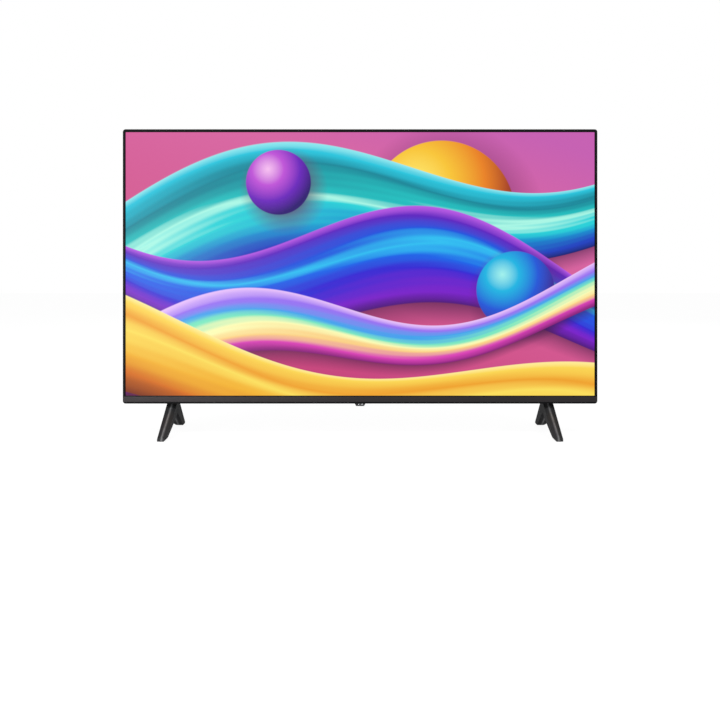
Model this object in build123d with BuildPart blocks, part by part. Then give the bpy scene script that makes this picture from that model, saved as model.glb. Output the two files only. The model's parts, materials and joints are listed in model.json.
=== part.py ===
from build123d import *
import os
from math import hypot

# A flat screen television on two V-shaped feet. Z is up, the floor is z = 0, the screen
# faces -Y, and the origin is on the floor under the middle of the set. Millimetres.

# Picture and outline
screen_width = 941.2
screen_height = 529.4
side_border = 5.9
top_border = 5.8
bottom_border = 15.8
corner_radius = 5.5
foot_height = 64.5
face_ahead = 33.0
body_depth = 72.0
thin_depth = 36.0
overrun = 1.0

# Front bezel and its trim strip
bezel_depth = 14.0
bezel_wall = 2.0
bezel_inner_radius = 1.0
lip_thickness = 1.6
bezel_edge_radius = 0.8
black_edge = 1.0
trim_thickness = 0.9
trim_foot = 3.4
trim_top_gap = 1.4
trim_side_gap = 1.2

# Layers of the panel, from the front to the back
gasket_thickness = 0.4
gasket_margin = 2.6
gasket_inner_margin = 1.3
cell_thickness = 1.4
cell_margin = 3.0
ledge_thickness = 2.0
ledge_opening_margin = 0.6
skirt_margin = 3.4
skirt_inner_margin = 2.0
skirt_depth = 6.6
film_thickness = 0.3
film_margin = 1.7
diffuser_thickness = 2.0
cavity_depth = 21.7
steel = 0.8
flange_width = 6.0
tray_slope_run = 25.0

# Edge electronics of the panel
source_board_end_gap = 170.6
source_board_gap = 40.0
source_board_height = 8.5
source_board_thickness = 1.2
flex_width = 28.0
flex_thickness = 0.3
flex_end_gap = 38.0
flex_overlap = 1.8
flexes_per_board = 4
flex_board_cover = 4.5

# Backlight
bar_count = 4
bar_end_gap = 40.6
bar_width = 16.0
bar_thickness = 1.0
lenses_per_bar = 9
lens_end_gap = 54.6
lens_radius = 7.5
lens_base = 1.2
lens_height = 6.0
lens_hole_gap = 1.0
reflector_thickness = 0.4
reflector_gap = 0.5
post_base_radius = 5.0
post_tip_radius = 1.3
post_columns = 4
post_rows = 2

# Rear cover
cover_inset = 1.0
cover_wall = 2.5
rim_depth = 9.0
rim_slope_run = 40.5
bulge_side_margin = 58.5
bulge_height = 338.5
bulge_straight = 16.0
bulge_side_run = 20.0
bulge_top_run = 30.0
bulge_edge = 3.0
bay_depth = 66.0
terminal_bay_low = 59.5
terminal_bay_height = 186.0
inlet_bay_low = 84.5
inlet_bay_height = 84.0
label_length = 130.0
label_height = 62.0
label_depth = 0.5
label_rise = 104.0

# Vents
vent_width = 3.2
vent_length = 26.0
vent_pitch = 8.0
vent_count = 20
vent_inset = 97.0
vent_drop = 48.0
grille_width = 2.6
grille_length = 20.0
grille_pitch = 6.0
grille_count = 9

# Screws of the rear cover
cover_screw_head = 4.0
cover_screw_head_height = 1.4
cover_screw_shank = 1.9
cover_screw_hole = 2.1
cover_screw_reach = 0.5
cover_boss_radius = 5.0
cover_screw_outset = 7.0
cover_screw_inner = 150.0
cover_screw_top_drop = 51.5
cover_screw_low_rise = 58.0

# Wall mount posts, 200 x 200 pattern with M6 threads
wall_pitch = 200.0
wall_thread_radius = 3.0
wall_thread_depth = 16.0
wall_post_radius = 7.0
wall_post_flange = 12.0
wall_post_flange_thickness = 2.0
wall_post_gap = 1.0
wall_pattern_rise = 185.5

# Feet
foot_inset = 36.2
foot_half_depth = 95.0
apex_half_depth = 15.0
crotch_height = 41.0
crotch_radius = 5.0
toe_back = 78.0
toe_front_height = 9.5
toe_round = 1.5
leg_top_outer = 9.2
leg_top_inner = 10.8
leg_bend_height = 30.0
leg_bend_inner = 8.3
leg_toe_outer = 12.7
front_toe_inner = 3.3
rear_toe_inner = 6.2
ridge_toe_inset = 8.3
ridge_top_inset = 11.3
facet_outer = 5.0
facet_inner = 7.0
toe_big_radius = 6.5
toe_small_radius = 1.5
pad_length = 10.0
pad_width = 8.0
pad_thickness = 1.6
pad_show = 0.8
foot_screw_offset = 4.7
foot_screw_head = 3.5
foot_screw_head_height = 2.6
foot_screw_shank = 2.0
foot_screw_hole = 2.2
foot_screw_well = 3.7
foot_screw_seat_drop = 13.5
foot_screw_reach = 2.0

# Foot brackets inside the body
bracket_width = 26.0
bracket_depth = 28.0
bracket_thickness = 2.0
bracket_height = 53.0
bracket_window_gap = 1.0
bracket_screw_offset = 7.0
bracket_screw_drop = 6.0
bracket_screw_radius = 1.9
bracket_screw_head = 3.6
bracket_screw_head_height = 1.6

# Sensor tab under the middle of the lower edge
tab_top_width = 21.5
tab_bottom_width = 16.0
tab_drop = 5.0
tab_set_back = 1.2
tab_depth = 12.0
tab_floor = 1.2
tab_edge_radius = 0.6
tab_neck_wall = 1.1
tab_neck_rise = 2.0
tab_neck_gap = 0.1
tab_cavity_width = 13.4
tab_cavity_depth = 8.4
sensor_board_length = 24.0
sensor_board_depth = 11.0
sensor_board_thickness = 1.0
receiver_width = 4.0
receiver_depth = 3.0
receiver_height = 3.5
pipe_radius = 0.8
pipe_gap = 0.1
sensor_offset = 4.4
sensor_spread = 2.4
switch_width = 6.0
switch_depth = 4.0
switch_height = 2.6
switch_hole_depth = 1.2
plunger_radius = 1.2
plunger_gap = 0.2
key_offset = 1.8
key_width = 6.4
key_depth = 4.0
key_gap = 0.3
key_flange = 0.5
key_flange_thickness = 0.8
key_proud = 0.8
key_travel = 0.6
key_edge_radius = 0.5

# Circuit boards
board_thickness = 1.6
board_standoff = 6.0
standoff_radius = 3.5
standoff_hole = 1.4
board_screw_radius = 1.3
board_screw_head = 2.8
board_screw_head_height = 1.8
board_corner_inset = 6.0
board_edge_gap = 0.5
main_board_length = 158.0
main_board_height = 182.0
board_rise = 58.5
power_board_length = 168.0
power_board_height = 172.0

# Parts on the main board
processor_size = 27.0
processor_thickness = 2.0
sink_size = 42.0
sink_base = 3.0
sink_height = 14.0
sink_fin = 1.4
sink_fins = 8
memory_length = 13.0
memory_width = 9.0
memory_thickness = 1.1
memory_pitch = 16.0
memory_count = 4
processor_share = 0.44
processor_rise_share = 0.55
can_length = 38.0
can_width = 24.0
can_height = 12.0
barrel_radius = 4.75
barrel_bore = 1.3
barrel_reach = 8.0
barrel_flange = 6.5
barrel_flange_thickness = 1.2
video_width = 15.0
video_height = 6.0
video_depth = 12.0
video_shell = 0.5
video_mouth_depth = 9.0
video_tongue = 1.4
video_pitch = 22.0
video_count = 3
data_width = 14.4
data_height = 7.0
data_depth = 14.0
data_shell = 0.6
data_mouth_depth = 11.0
data_tongue = 2.0
data_pitch = 20.0
data_count = 2
network_width = 16.0
network_height = 13.5
network_depth = 18.0
network_mouth_width = 12.0
network_mouth_height = 8.4
network_mouth_depth = 13.0
jack_size = 8.0
jack_depth = 13.0
jack_bore = 1.8
jack_bore_depth = 11.0
socket_gap = 0.3
first_socket_rise = 24.0
socket_step = 20.0
ribbon_width = 25.0
ribbon_thickness = 0.4
ribbon_connector_depth = 4.0
ribbon_connector_height = 8.0
ribbon_connector_margin = 3.0
ribbon_bend = 1.2
ribbon_inset = 31.0

# Parts on the power board
transformer_width = 34.0
transformer_depth = 22.0
transformer_height = 28.0
coil_overhang = 3.0
transformer_pitch = 52.0
transformer_count = 2
big_can_radius = 11.0
big_can_height = 24.0
small_can_radius = 4.5
small_can_height = 17.0
small_can_pitch = 13.0
small_can_count = 4
can_rim = 0.8
power_sink_length = 56.0
power_sink_height = 22.0
power_sink_thickness = 2.4
power_sink_foot = 9.0
power_sink_pitch = 68.0
power_sink_count = 2
inlet_width = 24.0
inlet_height = 17.0
inlet_depth = 24.0
inlet_mouth_length = 15.6
inlet_mouth_width = 8.4
inlet_mouth_depth = 14.0
inlet_pin_radius = 1.2
inlet_pin_pitch = 8.6
inlet_pin_length = 10.0
harness_radius = 2.0
harness_connector_length = 14.0
harness_connector_depth = 8.0
harness_connector_width = 9.0
harness_bend = 6.0
harness_rise_share = 0.62

# Loudspeakers
speaker_inset = 70.0
speaker_box_length = 140.0
speaker_box_depth = 34.0
speaker_box_height = 36.0
speaker_box_wall = 2.0
speaker_box_radius = 4.0
speaker_box_gap = 3.0
speaker_pad_height = 2.0
speaker_pad_length = 12.0
driver_flange_radius = 14.5
driver_flange_thickness = 1.5
driver_opening_radius = 12.6
basket_depth = 10.0
basket_wall = 1.2
magnet_radius = 9.5
magnet_height = 10.0
pole_radius = 3.5
coil_gap_width = 1.4
coil_gap_depth = 6.0
coil_wall = 0.6
coil_reach = 2.0
cone_radius = 11.4
cone_rise = 5.6
cone_thickness = 0.6
cone_lift = 0.8

# Sizes and places that follow from those above
half_width = screen_width / 2 + side_border
bulge_half_width = half_width - bulge_side_margin
bay_wall_x = bulge_half_width - bay_depth
foot_x = bulge_half_width - foot_inset
speaker_x = bay_wall_x - speaker_inset
vent_x = bay_wall_x - vent_inset
cover_screw_side = bulge_half_width + cover_screw_outset
bar_length = screen_width - 2 * bar_end_gap
lens_pitch = (screen_width - 2 * lens_end_gap) / (lenses_per_bar - 1)
source_board_length = (screen_width - source_board_gap) / 2 - source_board_end_gap
flex_pitch = (source_board_length - 2 * flex_end_gap) / (flexes_per_board - 1)
body_height = screen_height + top_border + bottom_border
body_bottom = foot_height
body_top = body_bottom + body_height
body_middle = (body_bottom + body_top) / 2
screen_bottom = body_bottom + bottom_border
screen_top = screen_bottom + screen_height
screen_middle = (screen_bottom + screen_top) / 2
face_y = -face_ahead
back_y = face_y + body_depth
seam_y = face_y + bezel_depth
thin_back_y = face_y + thin_depth
lip_back = face_y + lip_thickness
cell_front = lip_back + gasket_thickness
cell_back = cell_front + cell_thickness
ledge_back = cell_back + ledge_thickness
diffuser_front = ledge_back + 3 * film_thickness
diffuser_back = diffuser_front + diffuser_thickness
floor_front = diffuser_back + cavity_depth
floor_back = floor_front + steel
bar_front = floor_front - bar_thickness
reflector_front = bar_front - reflector_thickness
board_front = floor_back + board_standoff
board_back = board_front + board_thickness
cover_bottom = body_bottom + cover_inset
cover_top = body_top - cover_inset
cover_half = half_width - cover_inset
cover_floor = cover_bottom + cover_wall
cover_back_inside = back_y - cover_wall
shelf_z = body_bottom + bezel_wall
terminal_low = body_bottom + terminal_bay_low
terminal_high = terminal_low + terminal_bay_height
inlet_low = body_bottom + inlet_bay_low
inlet_high = inlet_low + inlet_bay_height
wall_pattern_z = body_bottom + wall_pattern_rise
tab_middle_y = face_y + tab_set_back + tab_depth / 2
tab_low = body_bottom - tab_drop
speaker_y = floor_back + speaker_box_gap + speaker_box_depth / 2

pieces = {}


# Planes and plain shapes that many pieces share
def facing_front(y):
    return Plane.XZ.offset(-y)


def level(z):
    return Plane.XY.offset(z)


def across(x):
    return Plane.YZ.offset(x)


def slab(x_limits, y_limits, z_limits, mode=Mode.ADD):
    limits = (x_limits, y_limits, z_limits)
    with Locations(tuple((low + high) / 2 for low, high in limits)):
        Box(*(high - low for low, high in limits), mode=mode)


def around(middle, size):
    return middle - size / 2, middle + size / 2


def picture_sheet(margin, back, thickness):
    # a flat sheet as large as the picture and a margin all round
    with BuildPart() as sheet:
        with BuildSketch(facing_front(back)):
            with Locations((0, screen_middle)):
                Rectangle(screen_width + 2 * margin, screen_height + 2 * margin)
        extrude(amount=thickness)
    return sheet


def picture_frame(margin, inner_margin, back, thickness):
    # a flat ring round the picture
    with BuildPart() as ring:
        with BuildSketch(facing_front(back)):
            with Locations((0, screen_middle)):
                Rectangle(screen_width + 2 * margin, screen_height + 2 * margin)
                Rectangle(
                    screen_width + 2 * inner_margin,
                    screen_height + 2 * inner_margin,
                    mode=Mode.SUBTRACT,
                )
        extrude(amount=thickness)
    return ring


def frustum(near_y, near, far_y, far, radius=0):
    # a block whose outline (half width, low, high) changes evenly between two depths
    with BuildPart() as block:
        for y, (half, low, high) in ((near_y, near), (far_y, far)):
            with BuildSketch(facing_front(y)) as outline:
                with Locations((0, (low + high) / 2)):
                    Rectangle(2 * half, high - low)
                if radius:
                    fillet(outline.vertices(), radius)
        loft()
    return block.part


def picture_outline(margin):
    return screen_width / 2 + margin, screen_bottom - margin, screen_top + margin


# Front bezel: a slim frame with a deep lower member, a recess for the trim strip and a
# slot in its underside for the sensor tab
with BuildPart() as front_bezel:
    with BuildSketch(facing_front(seam_y)):
        with Locations((0, body_middle)):
            RectangleRounded(2 * half_width, body_height, corner_radius)
    extrude(amount=bezel_depth)
    outer_edges = front_bezel.faces().sort_by(Axis.Y)[0].outer_wire().edges()
    fillet(outer_edges, bezel_edge_radius)
    with BuildSketch(facing_front(seam_y)):
        with Locations((0, body_middle)):
            RectangleRounded(
                2 * (half_width - bezel_wall),
                body_height - 2 * bezel_wall,
                bezel_inner_radius,
            )
    extrude(amount=bezel_depth - lip_thickness, mode=Mode.SUBTRACT)
    with BuildSketch(facing_front(lip_back)):
        with Locations((0, screen_middle)):
            Rectangle(screen_width + 2 * black_edge, screen_height + 2 * black_edge)
    extrude(amount=lip_thickness + overrun, mode=Mode.SUBTRACT)
    trim_low = body_bottom + trim_foot
    trim_high = screen_bottom - trim_top_gap
    trim_half = half_width - trim_side_gap
    slab(
        (-trim_half, trim_half),
        (face_y - overrun, face_y + trim_thickness),
        (trim_low, trim_high),
        Mode.SUBTRACT,
    )
    neck_width = tab_cavity_width + 2 * tab_neck_wall
    neck_depth = tab_cavity_depth + 2 * tab_neck_wall
    slab(
        around(0, neck_width + 2 * tab_neck_gap),
        around(tab_middle_y, neck_depth + 2 * tab_neck_gap),
        (body_bottom - overrun, shelf_z + overrun),
        Mode.SUBTRACT,
    )
pieces["front_bezel"] = front_bezel

with BuildPart() as bottom_trim:
    slab((-trim_half, trim_half), (face_y, face_y + trim_thickness), (trim_low, trim_high))
pieces["bottom_trim"] = bottom_trim

# The panel: cell, gasket, middle frame, films and diffuser plate, face to face
pieces["lcd_panel"] = picture_sheet(cell_margin, cell_back, cell_thickness)

with BuildPart() as panel_gasket:
    add(picture_frame(gasket_margin, gasket_inner_margin, cell_front, gasket_thickness).part)
    slab(
        (-half_width, half_width),
        (lip_back - overrun, cell_front + overrun),
        (body_bottom, screen_bottom + cell_margin),
        Mode.SUBTRACT,
    )
pieces["panel_gasket"] = panel_gasket

with BuildPart() as middle_frame:
    add(picture_frame(skirt_margin, ledge_opening_margin, ledge_back, ledge_thickness).part)
    add(picture_frame(skirt_margin, skirt_inner_margin, ledge_back + skirt_depth, skirt_depth).part)
pieces["middle_frame"] = middle_frame

film_names = ("brightness_film", "prism_film", "diffuser_film")
for layer, film_name in enumerate(film_names, start=1):
    film_back = ledge_back + layer * film_thickness
    pieces[film_name] = picture_sheet(film_margin, film_back, film_thickness)
pieces["diffuser_plate"] = picture_sheet(film_margin, diffuser_back, diffuser_thickness)

# Edge electronics: two boards stand on the lower wall of the bezel, joined to the cell by
# thin flexes that lie on its front edge behind the lip
board_half_gap = source_board_gap / 2
source_board_middle = board_half_gap + source_board_length / 2
with BuildPart() as source_boards:
    for side in (-1, 1):
        slab(
            around(side * source_board_middle, source_board_length),
            (cell_front, cell_front + source_board_thickness),
            (shelf_z, shelf_z + source_board_height),
        )
pieces["source_boards"] = source_boards

flex_low = shelf_z + source_board_height - flex_board_cover
flex_high = screen_bottom - cell_margin + flex_overlap
with BuildPart() as driver_flexes:
    with BuildSketch(facing_front(cell_front)):
        for side in (-1, 1):
            with Locations((side * source_board_middle, (flex_low + flex_high) / 2)):
                with GridLocations(flex_pitch, 0, flexes_per_board, 1):
                    Rectangle(flex_width, flex_high - flex_low)
    extrude(amount=flex_thickness)
pieces["driver_flexes"] = driver_flexes

# Rear chassis: a pressed steel tray with a flange behind the diffuser plate, sloping
# sides and the standoffs that carry the boards
tray_mouth = film_margin - flange_width
tray_slope = tray_slope_run / cavity_depth
tray_wall = steel * hypot(tray_slope_run, cavity_depth) / cavity_depth


def tray_outline(y, extra):
    return picture_outline(tray_mouth - tray_slope * (y - diffuser_back) + extra)


tray_outside = frustum(
    diffuser_back, tray_outline(diffuser_back, tray_wall), floor_back, tray_outline(floor_back, tray_wall)
)
tray_inside = frustum(
    diffuser_back, tray_outline(diffuser_back, 0), floor_front, tray_outline(floor_front, 0)
)

board_low = body_bottom + board_rise
main_board_right = bay_wall_x - cover_wall - board_edge_gap
main_board_left = main_board_right - main_board_length
main_board_high = board_low + main_board_height
power_board_left = board_edge_gap + cover_wall - bay_wall_x
power_board_right = power_board_left + power_board_length
power_board_high = board_low + power_board_height


def board_corners(left, right, low, high):
    inset = board_corner_inset
    return [(x, z) for x in (left + inset, right - inset) for z in (low + inset, high - inset)]


board_fixings = board_corners(main_board_left, main_board_right, board_low, main_board_high)
board_fixings += board_corners(power_board_left, power_board_right, board_low, power_board_high)

cover_screw_high = body_top - cover_screw_top_drop
cover_screw_low = body_bottom + cover_screw_low_rise
cover_screws = [
    (side * x, z)
    for side in (-1, 1)
    for x, z in (
        (cover_screw_inner, cover_screw_high),
        (cover_screw_side, cover_screw_high),
        (cover_screw_side, body_middle),
        (cover_screw_side, cover_screw_low),
    )
]
bracket_top = cover_floor + bracket_height
bracket_screws = [
    (side * (foot_x + offset), bracket_top - bracket_screw_drop)
    for side in (-1, 1)
    for offset in (-bracket_screw_offset, bracket_screw_offset)
]

with BuildPart() as rear_chassis:
    add(picture_frame(film_margin, tray_mouth, diffuser_back + steel, steel).part)
    add(tray_outside)
    add(tray_inside, mode=Mode.SUBTRACT)
    with BuildSketch(facing_front(board_front)):
        with Locations(*board_fixings):
            Circle(standoff_radius)
    extrude(amount=board_standoff)
    with BuildSketch(facing_front(board_front)):
        with Locations(*board_fixings):
            Circle(standoff_hole)
    extrude(amount=board_standoff - steel, mode=Mode.SUBTRACT)
    with BuildSketch(facing_front(floor_back)):
        with Locations(*cover_screws, *bracket_screws):
            Circle(cover_screw_hole)
    extrude(amount=steel, mode=Mode.SUBTRACT)
pieces["rear_chassis"] = rear_chassis

# Backlight: LED bars on the floor of the tray, a lens over each LED, and a white sheet
# that lies on the bars with a hole round each lens
bar_pitch = screen_height / bar_count
bar_levels = [screen_middle + (row - (bar_count - 1) / 2) * bar_pitch for row in range(bar_count)]
lens_places = [
    ((column - (lenses_per_bar - 1) / 2) * lens_pitch, z)
    for z in bar_levels
    for column in range(lenses_per_bar)
]
with BuildPart() as led_bars:
    for z in bar_levels:
        slab(around(0, bar_length), (bar_front, floor_front), around(z, bar_width))
pieces["led_bars"] = led_bars

with BuildPart() as led_lenses:
    with BuildSketch(facing_front(bar_front)):
        with Locations(*lens_places):
            Circle(lens_radius)
    extrude(amount=lens_height)
    crown_edges = led_lenses.faces().group_by(Axis.Y)[0].edges()
    fillet(crown_edges, lens_height - lens_base)
pieces["led_lenses"] = led_lenses

sheet_wall = reflector_thickness * tray_wall / steel
reflector_outside = frustum(
    diffuser_back,
    tray_outline(diffuser_back, -reflector_gap),
    bar_front,
    tray_outline(bar_front, -reflector_gap),
)
reflector_inside = frustum(
    diffuser_back,
    tray_outline(diffuser_back, -reflector_gap - sheet_wall),
    reflector_front,
    tray_outline(reflector_front, -reflector_gap - sheet_wall),
)
with BuildPart() as reflector_sheet:
    add(reflector_outside)
    add(reflector_inside, mode=Mode.SUBTRACT)
    with BuildSketch(facing_front(bar_front)):
        with Locations(*lens_places):
            Circle(lens_radius + lens_hole_gap)
    extrude(amount=reflector_thickness, mode=Mode.SUBTRACT)
pieces["reflector_sheet"] = reflector_sheet

with BuildPart() as diffuser_posts:
    with Locations(facing_front(reflector_front)):
        with Locations((0, screen_middle)):
            with GridLocations(2 * lens_pitch, 2 * bar_pitch, post_columns, post_rows):
                Cone(
                    post_base_radius,
                    post_tip_radius,
                    reflector_front - diffuser_back,
                    align=(Align.CENTER, Align.CENTER, Align.MIN),
                )
pieces["diffuser_posts"] = diffuser_posts

# Rear cover: a shell with a thin rim, a deep lower bulge, a terminal bay on one side and
# an inlet bay on the other, screw wells, vents and speaker grilles
rim_back = seam_y + rim_depth
rim_radius = corner_radius - cover_inset
slope_rise = thin_back_y - rim_back
slope_length = hypot(rim_slope_run, slope_rise)
inner_rim_back = rim_back - cover_wall * (slope_length - slope_rise) / rim_slope_run
inner_slope_run = rim_slope_run + cover_wall * (slope_length - rim_slope_run) / slope_rise
bulge_top = cover_bottom + bulge_height
bulge_step = thin_back_y + bulge_straight


def cover_outline(inset):
    return cover_half - inset, cover_bottom + inset, cover_top - inset


rim_outside = frustum(seam_y, cover_outline(0), rim_back, cover_outline(0), rim_radius)
slope_outside = frustum(
    rim_back, cover_outline(0), thin_back_y, cover_outline(rim_slope_run), rim_radius
)
rim_inside = frustum(
    seam_y - overrun, cover_outline(cover_wall), inner_rim_back, cover_outline(cover_wall)
)
slope_inside = frustum(
    inner_rim_back,
    cover_outline(cover_wall),
    thin_back_y - cover_wall,
    cover_outline(inner_slope_run),
)
bulge_base = (bulge_half_width, cover_bottom, bulge_top)
bulge_far = (bulge_half_width - bulge_side_run, cover_bottom, bulge_top - bulge_top_run)
bulge_straight_outside = frustum(seam_y, bulge_base, bulge_step, bulge_base)
bulge_slope_outside = frustum(bulge_step, bulge_base, back_y, bulge_far)


def inside_of(outline):
    half, low, high = outline
    return half - cover_wall, low + cover_wall, high - cover_wall


bulge_straight_inside = frustum(
    seam_y - overrun, inside_of(bulge_base), bulge_step, inside_of(bulge_base)
)
bulge_slope_inside = frustum(
    bulge_step, inside_of(bulge_base), cover_back_inside, inside_of(bulge_far)
)

with BuildPart() as cover_inside:
    add(bulge_straight_inside)
    add(bulge_slope_inside)
    for side, low, high in ((1, terminal_low, terminal_high), (-1, inlet_low, inlet_high)):
        near = side * (bay_wall_x - cover_wall)
        far = side * (bulge_half_width + overrun)
        slab(
            (min(near, far), max(near, far)),
            (thin_back_y - cover_wall, back_y),
            (low - cover_wall, high + cover_wall),
            Mode.SUBTRACT,
        )
    add(rim_inside)
    add(slope_inside)

speaker_grilles = [
    (side * speaker_x + (column - (grille_count - 1) / 2) * grille_pitch, speaker_y)
    for side in (-1, 1)
    for column in range(grille_count)
]
vent_level = bulge_top - bulge_top_run - vent_drop
vent_places = [
    (side * vent_x + (column - (vent_count - 1) / 2) * vent_pitch, vent_level)
    for side in (-1, 1)
    for column in range(vent_count)
]
wall_places = [
    (side * wall_pitch / 2, wall_pattern_z + rise * wall_pitch / 2)
    for side in (-1, 1)
    for rise in (-1, 1)
]
foot_screw_places = [
    (side * foot_x + offset, 0)
    for side in (-1, 1)
    for offset in (-foot_screw_offset, foot_screw_offset)
]

# The sockets stand in a column on the edge of the main board: each entry is the middle
# of its height, its width along the column and how far it stands off the board
antenna_z = board_low + first_socket_rise
video_levels = [antenna_z + socket_step + n * video_pitch for n in range(video_count)]
data_levels = [video_levels[-1] + data_pitch + n * data_pitch for n in range(data_count)]
network_z = data_levels[-1] + socket_step
jack_z = network_z + socket_step
socket_windows = [(z, video_width, video_height) for z in video_levels]
socket_windows += [(z, data_width, data_height) for z in data_levels]
socket_windows += [(network_z, network_width, network_height), (jack_z, jack_size, jack_size)]
inlet_z = (inlet_low + inlet_high) / 2

with BuildPart() as rear_cover:
    add(rim_outside)
    add(slope_outside)
    add(bulge_straight_outside)
    add(bulge_slope_outside)
    lower_back_edges = rear_cover.edges().filter_by(Axis.X).group_by(Axis.Y)[-1].sort_by(Axis.Z)
    chamfer(lower_back_edges[0], bulge_edge)
    for side, low, high in ((1, terminal_low, terminal_high), (-1, inlet_low, inlet_high)):
        near = side * bay_wall_x
        far = side * (bulge_half_width + overrun)
        slab(
            (min(near, far), max(near, far)),
            (thin_back_y, back_y + overrun),
            (low, high),
            Mode.SUBTRACT,
        )
    add(cover_inside.part, mode=Mode.SUBTRACT)
    with BuildSketch(facing_front(thin_back_y - cover_wall)):
        with Locations(*cover_screws):
            Circle(cover_boss_radius)
    extrude(amount=thin_back_y - cover_wall - floor_back)
    with BuildSketch(facing_front(thin_back_y)):
        with Locations(*cover_screws):
            Circle(cover_screw_head + socket_gap)
    extrude(amount=cover_screw_head_height, mode=Mode.SUBTRACT)
    with BuildSketch(facing_front(thin_back_y)):
        with Locations(*cover_screws):
            Circle(cover_screw_hole)
    extrude(amount=thin_back_y - floor_back, mode=Mode.SUBTRACT)
    with BuildSketch(facing_front(back_y)):
        with Locations(*wall_places):
            Circle(wall_post_radius + wall_post_gap)
        with Locations(*vent_places):
            SlotOverall(vent_length, vent_width, rotation=90)
    extrude(amount=cover_wall, mode=Mode.SUBTRACT)
    with BuildSketch(facing_front(back_y)):
        with Locations((0, cover_bottom + label_rise)):
            Rectangle(label_length, label_height)
    extrude(amount=label_depth, mode=Mode.SUBTRACT)
    with BuildSketch(level(cover_bottom)):
        with Locations(*speaker_grilles):
            SlotOverall(grille_length, grille_width, rotation=90)
        with Locations(*foot_screw_places):
            Circle(foot_screw_hole)
    extrude(amount=cover_wall, mode=Mode.SUBTRACT)
    for z, width, height in socket_windows:
        slab(
            (bay_wall_x - cover_wall, bay_wall_x),
            (board_back - socket_gap, board_back + height + socket_gap),
            around(z, width + 2 * socket_gap),
            Mode.SUBTRACT,
        )
    barrel_y = board_back + can_height / 2
    with Locations(Plane.YZ.offset(bay_wall_x - cover_wall / 2)):
        with Locations((barrel_y, antenna_z)):
            Cylinder(barrel_radius + socket_gap, cover_wall, mode=Mode.SUBTRACT)
    slab(
        (-bay_wall_x, cover_wall - bay_wall_x),
        (board_back - socket_gap, board_back + inlet_height + socket_gap),
        around(inlet_z, inlet_width + 2 * socket_gap),
        Mode.SUBTRACT,
    )
pieces["rear_cover"] = rear_cover


def screws_into_front(places, seat_y, head, head_height, shank, tip_y):
    # pan head screws that point to the front of the set
    with BuildPart() as screws:
        with BuildSketch(facing_front(seat_y + head_height)):
            with Locations(*places):
                Circle(head)
        extrude(amount=head_height)
        with BuildSketch(facing_front(seat_y)):
            with Locations(*places):
                Circle(shank)
        extrude(amount=seat_y - tip_y)
        with BuildSketch(facing_front(seat_y + head_height)):
            with Locations(*places):
                Rectangle(head, head_height / 2)
                Rectangle(head_height / 2, head)
        extrude(amount=head_height / 2, mode=Mode.SUBTRACT)
    return screws


pieces["rear_cover_screws"] = screws_into_front(
    cover_screws,
    thin_back_y - cover_screw_head_height,
    cover_screw_head,
    cover_screw_head_height,
    cover_screw_shank,
    floor_front - cover_screw_reach,
)

# Wall mount posts stand on the chassis and end level with the back of the cover
with BuildPart() as wall_mount_posts:
    with BuildSketch(facing_front(back_y)):
        with Locations(*wall_places):
            Circle(wall_post_radius)
    extrude(amount=back_y - floor_back)
    with BuildSketch(facing_front(floor_back + wall_post_flange_thickness)):
        with Locations(*wall_places):
            Circle(wall_post_flange)
    extrude(amount=wall_post_flange_thickness)
    with BuildSketch(facing_front(back_y)):
        with Locations(*wall_places):
            Circle(wall_thread_radius)
    extrude(amount=wall_thread_depth, mode=Mode.SUBTRACT)
pieces["wall_mount_posts"] = wall_mount_posts

# Foot: two faceted legs that meet at the top. The shape is made for the right-hand foot,
# with u pointing away from the middle of the set, and mirrored for the other one
leg_upper_slope = (foot_height + cover_inset - toe_front_height) / (foot_half_depth - apex_half_depth)
leg_lower_slope = crotch_height / toe_back


def leg_front(z):
    return -apex_half_depth - (cover_bottom - z) / leg_upper_slope


def leg_back(z):
    return (z - crotch_height) / leg_lower_slope


def leg_sides(z, toe_inner):
    # the inner side is bent a little under the place where the two legs part
    outer = leg_toe_outer + (leg_top_outer - leg_toe_outer) * z / cover_bottom
    if z > leg_bend_height:
        share = (z - leg_bend_height) / (cover_bottom - leg_bend_height)
        inner = leg_bend_inner + (leg_top_inner - leg_bend_inner) * share
    else:
        inner = toe_inner + (leg_bend_inner - toe_inner) * z / leg_bend_height
    return foot_x - inner, foot_x + outer


def leg_section(z, toe_inner):
    inner, outer = leg_sides(z, toe_inner)
    front = leg_front(z)
    ridge_inset = ridge_toe_inset + (ridge_top_inset - ridge_toe_inset) * z / cover_bottom
    return [
        (inner, leg_back(z)),
        (inner, front + facet_inner),
        (outer - ridge_inset, front),
        (outer, front + facet_outer),
        (outer, leg_back(z)),
    ]


def leg_blank(toe_inner):
    with BuildPart() as blank:
        for z in (0, leg_bend_height, cover_bottom):
            with BuildSketch(level(z)):
                with BuildLine():
                    Polyline(*leg_section(z, toe_inner), close=True)
                make_face()
        loft(ruled=True)
    return blank.part


def front_outline(toe_inner, inner_radius, outer_radius):
    # the leg seen from the front, with its two lower corners rounded
    inner_toe, outer_toe = leg_sides(0, toe_inner)
    inner_bend = leg_sides(leg_bend_height, toe_inner)[0]
    inner_top, outer_top = leg_sides(cover_bottom, toe_inner)
    with BuildPart() as outline:
        with BuildSketch(facing_front(0)) as face:
            with BuildLine():
                Polyline(
                    (inner_toe, pad_show),
                    (outer_toe, pad_show),
                    (outer_top, cover_bottom),
                    (inner_top, cover_bottom),
                    (inner_bend, leg_bend_height),
                    close=True,
                )
            make_face()
            lower_corners = face.vertices().group_by(Axis.Y)[0].sort_by(Axis.X)
            fillet(lower_corners[0], inner_radius)
            lower_corners = face.vertices().group_by(Axis.Y)[0].sort_by(Axis.X)
            fillet(lower_corners[-1], outer_radius)
        extrude(amount=foot_half_depth)
    return outline.part


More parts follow.
